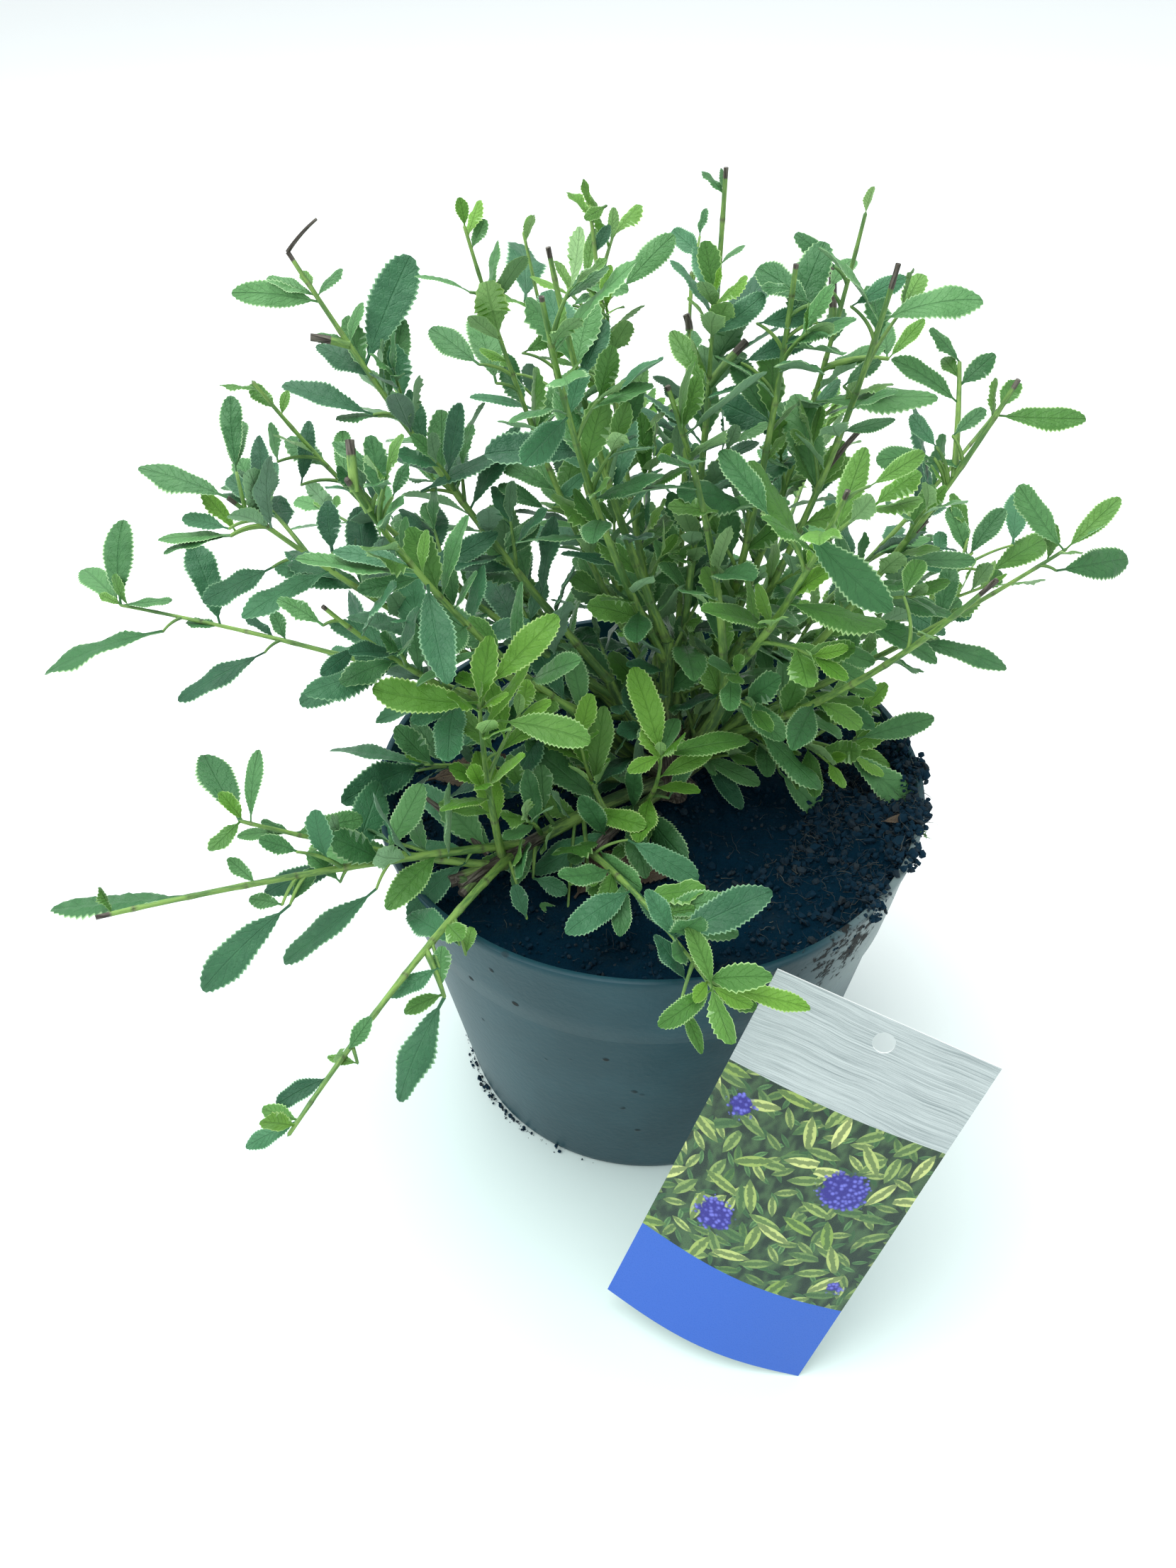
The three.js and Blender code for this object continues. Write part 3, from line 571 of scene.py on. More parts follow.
WOOD_PALE = (0.53, 0.59, 0.585)
WOOD_DARK = (0.13, 0.165, 0.17)
WOOD_GREY = (0.23, 0.28, 0.285)
CARD_BLUE = (0.027, 0.115, 0.526)
BLUE_UP_TO = 0.235
WOOD_FROM = 0.75
printed, tree, shader = material("card_print", 0.3)
page = put(tree, "TexCoord").outputs["UV"]
spot = put(tree, "SeparateXYZ", Vector=page)
across_page, up_page = spot.outputs[0], spot.outputs[1]
warped = noise_of(tree, page, 2.2, 1.5)
bent = put(tree, "CombineXYZ", X=across_page, Y=sums(tree, "MULTIPLY_ADD", warped, 0.06, up_page))
wood_way = stretched(tree, bent.outputs[0], 1.6, 230.0, 1.0)
wood_lines = noise_of(tree, wood_way, 1.0, 7.0, 0.8)
wood = graded(tree, wood_lines, 0.3, 0.62, WOOD_GREY, WOOD_PALE)
hair_way = stretched(tree, bent.outputs[0], 3.0, 560.0, 1.0)
hair_lines = noise_of(tree, hair_way, 1.0, 3.0)
wood = blend(tree, fade(tree, hair_lines, 0.56, 0.66, 0.0, 0.5), wood, WOOD_DARK)


def scattered(scale, wide, seed, low, high):
    """A layer of printed leaves: each cell of a scatter holds one, turned its own way."""
    shifted = put(tree, "Mapping", Vector=page, Location=(seed, seed * 0.37, 0),
                  Scale=(scale, scale * 2.0, 1)).outputs[0]
    cells = put(tree, "TexVoronoi", {"voronoi_dimensions": "2D"}, Vector=shifted, Scale=1.0,
                Randomness=0.9)
    away = put(tree, "VectorMath", {"operation": "SUBTRACT"}, Vector=shifted)
    tree.links.new(cells.outputs["Position"], away.inputs[1])
    chance = put(tree, "SeparateXYZ", Vector=cells.outputs["Color"])
    turn = sums(tree, "MULTIPLY", chance.outputs[0], 6.28)
    faced = put(tree, "VectorRotate", {"rotation_type": "Z_AXIS"}, Vector=away.outputs[0],
                Angle=turn).outputs[0]
    leaf = put(tree, "SeparateXYZ", Vector=faced)
    along_leaf = sums(tree, "ABSOLUTE", sums(tree, "MULTIPLY", leaf.outputs[0], 1.9))
    across_leaf = sums(tree, "ABSOLUTE", sums(tree, "MULTIPLY", leaf.outputs[1], wide))
    edge = sums(tree, "ADD", sums(tree, "POWER", along_leaf, 2.0), across_leaf)
    shape = fade(tree, edge, 0.9, 0.8)
    ragged = noise_of(tree, shifted, 9.0, 3.0)
    rib = fade(tree, sums(tree, "MULTIPLY_ADD", ragged, -0.9, across_leaf), 0.0, -0.16)
    lit = blend(tree, chance.outputs[1], low, high)
    return shape, laid(tree, rib, 0.7, lit, (0.025, 0.09, 0.03))


picture = graded(tree, noise_of(tree, page, 16.0), 0.4, 0.65, (0.01, 0.03, 0.018),
                 (0.05, 0.11, 0.045))
for layer in ((12.0, 6.0, 3.1, (0.02, 0.08, 0.03), (0.12, 0.26, 0.09)),
              (8.5, 5.2, 7.7, (0.07, 0.16, 0.04), (0.4, 0.5, 0.16)),
              (6.0, 5.6, 5.2, (0.06, 0.15, 0.05), (0.3, 0.42, 0.12)),
              (5.2, 6.0, 1.3, (0.2, 0.33, 0.06), (0.68, 0.74, 0.28))):
    shape, veined = scattered(*layer)
    picture = blend(tree, shape, picture, veined)
for place_x, place_y, size in ((0.7, 0.57, 0.14), (0.26, 0.37, 0.12), (0.14, 0.66, 0.09),
                               (0.9, 0.3, 0.07)):
    bloom = put(tree, "VectorMath", {"operation": "SUBTRACT"}, Vector=page)
    bloom.inputs[1].default_value = (place_x, place_y, 0)
    spread = put(tree, "VectorMath", {"operation": "MULTIPLY"}, Vector=bloom.outputs[0])
    spread.inputs[1].default_value = (1.0, 2.0, 1.0)
    far = put(tree, "VectorMath", {"operation": "LENGTH"}, Vector=spread.outputs[0])
    dots = put(tree, "TexVoronoi", Vector=stretched(tree, page, 1, 2, 1), Scale=46.0)
    ragged = sums(tree, "MULTIPLY_ADD", dots.outputs["Distance"], 0.05, far.outputs["Value"])
    inside = fade(tree, ragged, size, size - 0.02)
    petals = graded(tree, dots.outputs["Distance"], 0.1, 0.6, (0.16, 0.17, 0.66),
                    (0.025, 0.02, 0.24))
    picture = blend(tree, inside, picture, petals)
lower = blend(tree, sums(tree, "GREATER_THAN", up_page, BLUE_UP_TO), CARD_BLUE, picture)
paint(tree, shader, blend(tree, sums(tree, "GREATER_THAN", up_page, WOOD_FROM), lower, wood))
fleck = noise_of(tree, page, 260.0, 2.0)
tree.links.new(fade(tree, fleck, 0.3, 0.7, 0.26, 0.36), shader.inputs["Roughness"])

blank, tree, shader = material("card_back", 0.45)
fibre = noise_of(tree, object_place(tree), 300.0, 4.0)
paint(tree, shader, blend(tree, fibre, (0.74, 0.78, 0.77), (0.84, 0.87, 0.86)))
raised(tree, shader, fibre, 0.03)
card.data.materials.append(printed)
card.data.materials.append(blank)
for face in card.data.polygons:
    face.material_index = 0 if face.normal.dot(Vector(CARD_FRONT)) > 0.5 else 1
seat(card, "card", "plant_card")

# ---- Trunk
# A short woody stem with a flared, lobed foot and brown bark that cracks along its length; all
# the boughs leave it within a finger's width.
TRUNK_LEAN = np.array([-1.0, 1.5, 27.0])
TRUNK_RUN = 27.1
TRUNK_RINGS = ((0, 9), (0.12, 6.9), (0.35, 5.7), (0.7, 5.2), (1, 4.6))
TRUNK_LOBES = 5
TRUNK_SIDES = 56


def trunk_axis(height):
    """The middle of the leaning trunk, so high over its foot."""
    return TRUNK_FOOT + TRUNK_LEAN * (height / TRUNK_LEAN[2])


def run_along(line):
    """How far along a line each of its points lies."""
    return np.concatenate([[0], np.cumsum(np.linalg.norm(np.diff(line, axis=0), axis=1))])


def framed(line):
    """Two directions across a line at each of its points, turning as little as they can."""
    ways = np.gradient(line, axis=0)
    ways /= np.linalg.norm(ways, axis=1)[:, None]
    across = np.cross(ways[0], (0.21, 0.43, 0.88))
    firsts, seconds = [], []
    for way in ways:
        across = across - way * across.dot(way)
        across /= np.linalg.norm(across)
        firsts.append(across.copy())
        seconds.append(np.cross(way, across))
    return np.array(firsts), np.array(seconds)


def rod(line, radii, sides, tone, start=0.0, relief=None, cap=0.35):
    """A round limb along a line, with a radius for each point of it or for its two ends;
    relief(angle, run) swells or sinks its skin, and cap is how far its end is drawn out."""
    if len(radii) == 2:
        radii = np.linspace(*radii, len(line))
    first, second = framed(line)
    run = run_along(line)
    angle = np.linspace(0, 2 * math.pi, sides, endpoint=False)
    radius = np.repeat(np.asarray(radii)[:, None], sides, 1)
    if relief is not None:
        radius = radius + relief(angle[None, :], run[:, None])
    flat = radius[..., None]
    points = line[:, None] + flat * (first[:, None] * np.cos(angle)[None, :, None]
                                     + second[:, None] * np.sin(angle)[None, :, None])
    grain = np.stack([radius * np.cos(angle), radius * np.sin(angle),
                      np.repeat(run[:, None] * 0.16 + start, sides, 1)], -1)
    count = len(line)
    points = np.concatenate([points.reshape(-1, 3), line[:1] - (line[1:2] - line[:1]) * 0.01,
                             line[-1:] + (line[-1:] - line[-2:-1]) * cap])
    grain = np.concatenate([grain.reshape(-1, 3), grain[0, :1], grain[-1, :1]])
    around, after, quads = tube_faces(count, sides)
    low, high, last = count * sides, count * sides + 1, (count - 1) * sides
    foot = np.stack([np.full(sides, low), after, around], 1)
    tip = np.stack([np.full(sides, high), around + last, after + last], 1)
    woody = np.repeat(np.broadcast_to(tone, count), sides)
    return {"points": points, "quads": quads,
            "triangles": np.concatenate([foot, tip]), "grain": grain * MM,
            "tone": np.concatenate([woody, [woody[0], woody[-1]]])}


def bark_relief(depth, seed):
    """Folds along a limb, so deep, and fine cracks. Each seed gives others."""
    def relief(angle, run):
        waves = np.zeros(np.broadcast(angle, run).shape)
        for fold, share in ((7, 0.5), (11, 0.35), (17, 0.25)):
            drift = 1.4 * np.sin(run / 6.5 + fold + seed) + 0.6 * np.sin(run / 2.3 + seed)
            waves = waves + share * np.sin(fold * angle + drift)
        return depth * (waves + 0.3 * np.sin(run / 1.1 + 3 * np.sin(angle * 2 + seed)))
    return relief


heights = np.linspace(0, 1, 44)
trunk_radii = np.interp(heights, *zip(*TRUNK_RINGS))
trunk_line = np.array([trunk_axis(share * TRUNK_LEAN[2]) for share in heights])
cracked = bark_relief(0.32, 1.7)


def trunk_relief(angle, run):
    """The lobes of the trunk's foot, which fade out upwards, and its cracked bark."""
    share = run / TRUNK_RUN
    lobes = np.interp(share, *zip(*TRUNK_RINGS)) * 0.1 * (1 - share) * np.cos(TRUNK_LOBES * angle)
    return lobes + cracked(angle, run)


BARK_BROWN = (0.055, 0.043, 0.032)
BARK_GREY = (0.17, 0.155, 0.125)
BARK_CRACK = (0.018, 0.012, 0.008)
STEM_PALE = (0.23, 0.4, 0.085)


def skin_of_limbs(name, roughness, tint):
    """Bark where tone is 1 and green stem where it is 0, each running along the limb."""
    made, tree, shader = material(name, roughness)
    where = put(tree, "Attribute", {"attribute_name": "grain"}).outputs["Vector"]
    tone = tone_of(tree)
    streaks = noise_of(tree, where, 900.0, 6.0, 0.7)
    broad = noise_of(tree, where, 260.0, 3.0)
    cracks = put(tree, "TexVoronoi", {"feature": "DISTANCE_TO_EDGE"}, Vector=where, Scale=520.0)
    crack = fade(tree, cracks.outputs["Distance"], 0.12, 0.02)
    grey = graded(tree, streaks, 0.4, 0.68, BARK_BROWN, BARK_GREY)
    bark = laid(tree, crack, 0.6, grey, BARK_CRACK)
    green = graded(tree, sums(tree, "ADD", broad, streaks), 0.84, 1.16, tint, STEM_PALE)
    woody = fade(tree, sums(tree, "MULTIPLY_ADD", broad, 0.5, tone), 0.45, 0.85)
    paint(tree, shader, blend(tree, woody, green, bark))
    height = sums(tree, "SUBTRACT", streaks, sums(tree, "MULTIPLY", crack, woody))
    raised(tree, shader, height, 0.35)
    return made


bark = skin_of_limbs("bark", 0.78, (0.1, 0.15, 0.045))
trunk_rod = rod(trunk_line, trunk_radii, TRUNK_SIDES, 1.0, relief=trunk_relief)
seat(gathered("trunk_bark", [trunk_rod], [bark]), "bark", "trunk")

# ---- Boughs
# The main limbs, from the trunk to where their stems fork, each with its own leaves. In a bough:
# where it leaves the trunk, its tip as [bearing, reach, height], its bow and radius, and its
# sprays, each [tip, bow, fork, cut, phase, hue], with hue 0 for the deepest green to 3.
FRONT_LEFT_TIP = (-136, 92, 14)
BOUGHS = [
    ("left_high", 17, (168, 22, 44), -2, 2.5, (
        ((165, 117, 175), -4, 0, True, 200, 0), ((179, 121, 149), -8, 8, False, 190, 0))),
    ("back_left", 22, (130, 14, 44), -1, 2.2, (
        ((155, 68, 182), -5, 0, False, 90, 1), ((124, 90, 166), -6, 7, False, 10, 1))),
    ("centre", 27, (130, 4, 62), 0, 2.8, (
        ((186, 36, 187), -3, 0, True, 0, 0), ((-150, 42, 181), -5, 9, True, 100, 1),
        ((118, 60, 180), -5, 18, False, 210, 2))),
    ("centre_back", 24, (80, 13, 48), -1, 2.3, (
        ((71, 29, 197), -3, 0, True, 60, 0), ((52, 12, 170), -1, 8, False, 120, 1),
        ((88, 80, 152), -5, 14, False, 300, 0))),
    ("right_back", 20, (42, 18, 42), -2, 2.5, (
        ((40, 65, 181), -5, 0, False, 60, 1), ((15, 29, 179), -3, 8, True, 220, 1),
        ((8, 55, 179), -6, 15, True, 330, 1))),
    ("right", 14, (2, 26, 36), -2, 2.8, (
        ((-4, 88, 154), -5, 0, True, 0, 1), ((1, 116, 98), -3, 8, False, 90, 1),
        ((-30, 94, 118), -6, 15, True, 180, 1))),
    ("front_right", 18, (-30, 20, 58), -4, 2.4, (
        ((-45, 58, 140), -3, 0, True, 300, 2), ((-114, 12, 154), 4, 9, True, 20, 1))),
    ("low_right", 6, (14, 30, 19), 2, 2, (
        ((-2, 63, 19), 2, 0, False, 60, 2), ((36, 60, 50), -2, 6, False, 250, 1),
        ((5, 49, 30), 1, 12, True, 120, 2))),
    ("front", 5, (-118, 55, 14), 3, 2, (
        ((-84, 108, 22), 4, 0, False, 80, 1), ((-143, 38, 42), -3, 16, False, 15, 3),
        ((-97, 32, 42), -3, 33, False, 130, 3))),
    ("front_left", 9, FRONT_LEFT_TIP, 4, 2.6, (
        ((-122, 184, 20), 5, 21, False, 35, 1), ((-137, 77, 79), -1, 17, False, 90, 3),
        ((-149, 146, 52), -2, 13, False, 0, 1), ((-145, 191, 48), 3, 28, True, 70, 0))),
    ("left_low", 5, (-163, 38, 10), 4, 1.9, (((-168, 86, 24), 3, 0, False, 150, 0),)),
    ("left", 9, (179, 40, 28), 2, 2.3, (
        ((180, 180, 75), 4, 0, False, 40, 0), ((-152, 109, 110), -6, 8, True, 200, 0))),
    ("left_mid", 13, (-158, 28, 40), -2, 2.4, (
        ((-166, 127, 131), -4, 0, True, 100, 0), ((-147, 99, 149), -6, 8, True, 40, 1))),
    ("back_low", 6, (100, 34, 24), 2, 2, (
        ((96, 138, 78), 3, 0, False, 20, 1), ((118, 114, 112), -6, 8, True, 160, 0))),
    ("back_right", 10, (50, 34, 28), 2, 2.2, (
        ((64, 134, 84), 3, 0, False, 70, 1), ((36, 136, 106), -6, 7, True, 240, 0),
        ((22, 118, 58), 3, 14, False, 10, 1))),
    ("back_left_low", 13, (148, 34, 32), 2, 2.2, (
        ((152, 144, 72), 3, 0, False, 110, 0), ((138, 142, 114), -6, 8, True, 300, 1))),
]
UP = np.array([0.0, 0.0, 1.0])


def unit(way):
    """The same direction, one long."""
    return way / np.linalg.norm(way)


class Path:
    """A path from one point to another whose middle stands off the straight line by bow."""

    def __init__(self, start, end, bow):
        chord = end - start
        side = np.cross(unit(np.array([chord[0], chord[1], 0.0])), UP)
        control = (start + end) / 2 + np.cross(side, unit(chord)) * 2 * bow
        share = np.linspace(0, 1, 201)[:, None]
        self.points = ((1 - share) ** 2 * start + 2 * share * (1 - share) * control
                       + share ** 2 * end)
        self.run = run_along(self.points)
        self.length = self.run[-1]

    def at(self, share):
        want = min(max(share, 0.0), 1.0) * self.length
        return np.array([np.interp(want, self.run, self.points[:, k]) for k in range(3)])

    def way(self, share):
        return unit(self.at(min(1.0, share + 0.002)) - self.at(max(0.0, share - 0.002)))

    def line(self, step):
        count = max(3, int(self.length / step) + 1)
        return np.array([self.at(k / (count - 1)) for k in range(count)])


def tip_place(tip):
    """The place of a tip that is given by bearing, reach and height from the trunk's foot."""
    bearing, reach, height = tip
    return TRUNK_FOOT + (*on_circle(reach, math.radians(bearing)), height)


BOUGH_ROOT = 5
BOUGH_TAPER = 0.78
BOUGH_SIDES = 14
boughs, bough_rods = [], []
for number, (name, leaves_trunk, tip, bow, radius, sprays) in enumerate(BOUGHS):
    end = tip_place(tip)
    foot = trunk_axis(leaves_trunk - BOUGH_ROOT)
    outward = unit(np.array([end[0] - foot[0], end[1] - foot[1], 0.0]))
    path = Path(foot + outward * 1.5, end, bow)
    boughs.append((name, path, radius, sprays))
    line = path.line(1.2)
    share = np.linspace(0, 1, len(line))
    flare = 1 + 0.28 * np.exp(-share * path.length / 4.5)
    woody = np.clip(0.62 - 0.75 * share, 0.05, 1)
    if name in ("front_left", "front"):
        woody = np.clip(0.5 - 0.6 * share + 1.1 * eased(share, 0.58, 0.76), 0.05, 1)
    radii = radius * flare * (1 - (1 - BOUGH_TAPER) * share)
    bough_rods.append(rod(line, radii, BOUGH_SIDES, woody, start=0.1 * number,
                          relief=bark_relief(0.07, number)))

# The brown dead snag that stands up from the low bough on the front left, and that bough's rough
# cut stub: its own end, and two side stubs that leave it.
SNAG_FOOT = np.array([-50.5, -49.0, 146.0])
SNAG_TIP = np.array([-71.1, -39.6, 162.0])
STUBS = (((13, 11.5, -0.6), (-3.4, 0.9, 1.2), 2.3, 2.0),
         ((3.5, 3.2, -0.4), (0.6, -2.6, -0.8), 1.9, 1.4),
         ((1.5, 1.6, 0.8), (-1.2, 0.2, 3.0), 1.5, 1.1))
snag_line = Path(SNAG_FOOT, SNAG_TIP, 1.0).line(1.2)
bough_rods.append(rod(snag_line, (1.2, 0.75), 9, 1.0, start=3.0, relief=bark_relief(0.12, 9)))
stub_end = tip_place(FRONT_LEFT_TIP)
for from_end, to_end, thick, thin in STUBS:
    knob = Path(stub_end + from_end, stub_end + to_end, 0.2).line(0.8)
    woody = 0.34 + 0.6 * eased(np.linspace(0, 1, len(knob)), 0.7, 0.95)
    bough_rods.append(rod(knob, (thick, thin), 12, woody, start=4.0 + thick,
                          relief=bark_relief(0.07, thick), cap=0.05))

bough_skin = skin_of_limbs("bough_bark", 0.68, (0.055, 0.13, 0.04))
bough_piece = gathered("bough_bark", bough_rods, [bough_skin])
seat(bough_piece, "green_wood", *["bough_" + bough[0] for bough in BOUGHS])

# ---- Sprays
# Every stem of the year's growth with its leaves: a toothed leaf at each node, turned by the
# golden angle from the last, a bunch of small round leaves or a short twig in its axil, and
# young leaves at a growing tip. This section says where all of it stands.
NODE_SPACING = 15
GOLDEN_ANGLE = 137.5
BARE_FOOT = 7
LEAF_LENGTH = 37
LEAF_WIDTH = 0.33
SMALL_LEAF_LENGTH = 18
MAIN_LEAF_FROM = 19
CROWN_LEAF = 0.84
TWIG_SHARE = 0.15
TWIG_LENGTH = 11
TIP_CLEAR = 6
LIMB_CLEAR = 0.7
LEAF_CLEAR_SQUARED = 2.1
ALL_BITS = 0xFFFFFFFF


def seeded(seed):
    """The same run of draws as the drawing's own growth rule."""
    state = seed

    def draw():
        nonlocal state
        state = (state + 0x6D2B79F5) & ALL_BITS
        t = ((state ^ (state >> 15)) * (1 | state)) & ALL_BITS
        t = ((t + (((t ^ (t >> 7)) * (61 | t)) & ALL_BITS)) & ALL_BITS) ^ t
        return ((t ^ (t >> 14)) & ALL_BITS) / 2 ** 32
    return draw


def squared(way, along):
    """The direction square to another that lies nearest to a way."""
    return unit(way - along * way.dot(along))


def turned_about(way, axis, degrees):
    """A direction turned about an axis."""
    angle = math.radians(degrees)
    return (way * math.cos(angle) + np.cross(axis, way) * math.sin(angle)
            + axis * axis.dot(way) * (1 - math.cos(angle)))


def growth_axes(stem, bearing, spread, roll):
    """Which way a leaf or twig grows from a stem, and which way its upper face looks."""
    side = np.array([1.0, 0, 0]) if abs(stem[2]) > 0.999 else unit(np.cross(stem, UP))
    over = np.cross(side, stem)
    angle, opening = math.radians(bearing), math.radians(spread)
    radial = over * math.cos(angle) + side * math.sin(angle)
    along = stem * math.cos(opening) + radial * math.sin(opening)
    along[2] += 0.12 - min(0.0, along[2]) * 0.6 * (1 - abs(stem[2]))
    along = unit(along)
    return along, turned_about(squared(UP * 0.8 + stem * 0.6, along), along, roll)


def lifted(root, along, length):
    """A way turned up so far that what grows that way keeps off the table, pot and compost."""
    tip = root + along * length
    radius = math.hypot(tip[0], tip[1])
    ground = TIP_CLEAR
    if radius < RIM_RADIUS + 4:
        ground = POT_HEIGHT + 3 if radius >= RIM_RADIUS - 6 else SOIL_HEIGHT + TIP_CLEAR
    if tip[2] < ground:
        along = unit(along + UP * ((ground - tip[2]) / length))
    return along


leaf_dice = np.random.default_rng(2024)
LOW, HIGH = np.array(cad_box[0]) / MM - 9, np.array(cad_box[1]) / MM + 9
CELL = 4.0
near_leaves, near_limbs = {}, {}


def cell_of(point):
    """The cell of space that holds a point."""
    return tuple(np.floor(point / CELL).astype(int))


def cells_round(point):
    """The cell that holds a point, and all the cells next to it."""
    a, b, c = cell_of(point)
    return [(a + i, b + j, c + k) for i in (-1, 0, 1) for j in (-1, 0, 1) for k in (-1, 0, 1)]


def mark_limb(line, radius):
    """Keeps the space of a limb free of leaves."""
    for point in line:
        near_limbs.setdefault(cell_of(point), []).append((point, radius))


def mark_leaf(samples):
    """Keeps the space of a leaf free of other leaves."""
    for point in samples:
        near_leaves.setdefault(cell_of(point), []).append(point)


def blade_samples(root, along, face, length):
    """Points spread over a blade that stand for it where leaves must not touch."""
    side = np.cross(along, face)
    half = LEAF_WIDTH * length / 2
    sag = 0.09 * length
    return [root + along * length * share + side * half * across - face * sag * share ** 2
            for share in (0.3, 0.45, 0.6, 0.75, 0.95) for across in (-0.7, 0, 0.7)
            if share < 0.9 or across == 0]


def fits(root, along, face, length):
    """True if a leaf stays in its space and clear of the limbs, the pot and other leaves."""
    samples = blade_samples(root, along, face, length)
    for point in samples:
        if (point < LOW).any() or (point > HIGH).any():
            return False
        radius = math.hypot(point[0], point[1])
        if radius < SOIL_EDGE + 1 and point[2] < soil_height(point[0], point[1]) + 1.2:
            return False
        if SOIL_EDGE < radius < RIM_RADIUS + 2 and point[2] < POT_HEIGHT + 1:
            return False
        for cell in cells_round(point):
            for other, thick in near_limbs.get(cell, ()):
                gap = point - other
                if np.abs(gap).sum() < 5 and np.linalg.norm(gap) < thick + LIMB_CLEAR:
                    return False
            for other in near_leaves.get(cell, ()):
                gap = point - other
                if gap.dot(gap) < LEAF_CLEAR_SQUARED:
                    return False
    mark_leaf(samples)
    return True


leaves = {"main": [[], [], [], []], "small": [[], [], [], []]}


def add_leaf(root, axes, length, hue, size=None):
    """Grows a leaf if it fits. Its shape goes by its length where no size is given."""
    along, face = axes
    along = lifted(root, along, length)
    face = squared(face, along)
    size = size or ("main" if length > MAIN_LEAF_FROM else "small")
    if fits(root, along, face, length):
        leaves[size][min(3, max(0, hue))].append((root, along, face, length))


def bunch(root, stem, bearing, hue, most, scale=1.0):
    """Small round leaves crowded in an axil."""
    for _ in range(leaf_dice.integers(1, most + 1)):
        length = SMALL_LEAF_LENGTH * scale * leaf_dice.uniform(0.5, 1.2)
        turn = bearing + leaf_dice.uniform(-75, 75)
        axes = growth_axes(stem, turn, leaf_dice.uniform(18, 62), leaf_dice.uniform(-35, 35))
        add_leaf(root + stem * leaf_dice.uniform(0.5, 2.5), axes, length, hue + 1, "small")


twig_rods = []


def twig(root, stem, bearing, spread, reach, hue, radius=0.8):
    """A short side shoot with its own alternate leaves, small ones at its tip."""
    along, _ = growth_axes(stem, bearing, spread, 0)
    along = lifted(root, along, reach * 1.5)
    path = Path(root, root + along * reach, 0.05 * reach)
    line = path.line(1.5)
    twig_rods.append(rod(line, (radius, 0.55 * radius), 7, 0.0, start=leaf_dice.random()))
    mark_limb(line, radius)
    count = max(2, int(reach / 6))
    for i in range(count):
        share = 0.3 + 0.65 * (i + 0.5) / count
        axes = growth_axes(path.way(share), bearing + GOLDEN_ANGLE * i + 40, 52 - 14 * share,
                           leaf_dice.uniform(-25, 25))
        length = LEAF_LENGTH * leaf_dice.uniform(0.5, 0.78) * (1 - 0.35 * share)
        add_leaf(path.at(share), axes, length, hue)
    for k in range(3):
        axes = growth_axes(path.way(1), 120 * k + bearing, 22 + 10 * k, 0)
        length = SMALL_LEAF_LENGTH * (0.8 - 0.14 * k)
        add_leaf(path.at(1 - 0.6 * k / reach), axes, length, hue + 1, "small")


stems, limbs = [], {}
for number, (name, path, radius, sprays) in enumerate(boughs):
    mark_limb(path.line(1.5), radius * 0.9)
    limbs["bough_" + name] = path
    for count, (tip, bow, fork, cut, phase, hue) in enumerate(sprays):
        start = path.at(1 - max(0.6, fork) / path.length)
        stem = Path(start, tip_place(tip), bow)
        limbs["%s_%d" % (name, count + 1)] = stem
        foot = min(1.7, radius * 0.68)
        stems.append((stem, foot, foot * (0.8 if cut else 0.5), cut, phase, hue,
                      100 * number + 10 * count + 7))
        mark_limb(stem.line(1.5), foot * 0.8)

# Where the plant is looked at from: close and high in front, a little aside. The camera stands
# there, and the leaves below are placed as they show from there.
ELEVATION, TURN, TILT, ROLL = 45.3, 2.9, 2.9, -1.3
DISTANCE, AIM_HEIGHT = 440, 102
LENS, SENSOR = 27.03, 36
VIEW_WIDE, VIEW_HIGH = 1500, 2000
FOCAL = VIEW_HIGH * LENS / SENSOR
rise = math.radians(ELEVATION)
back = np.array([0.0, -math.cos(rise), math.sin(rise)])
EYE = back * DISTANCE + UP * AIM_HEIGHT
OVER = np.cross((1.0, 0.0, 0.0), -back)
AHEAD, ASIDE = turned_about(-back, OVER, TURN), turned_about(np.array([1.0, 0, 0]), OVER, TURN)
AHEAD, OVER = turned_about(AHEAD, ASIDE, TILT), turned_about(OVER, ASIDE, TILT)
ASIDE, OVER = turned_about(ASIDE, AHEAD, ROLL), turned_about(OVER, AHEAD, ROLL)

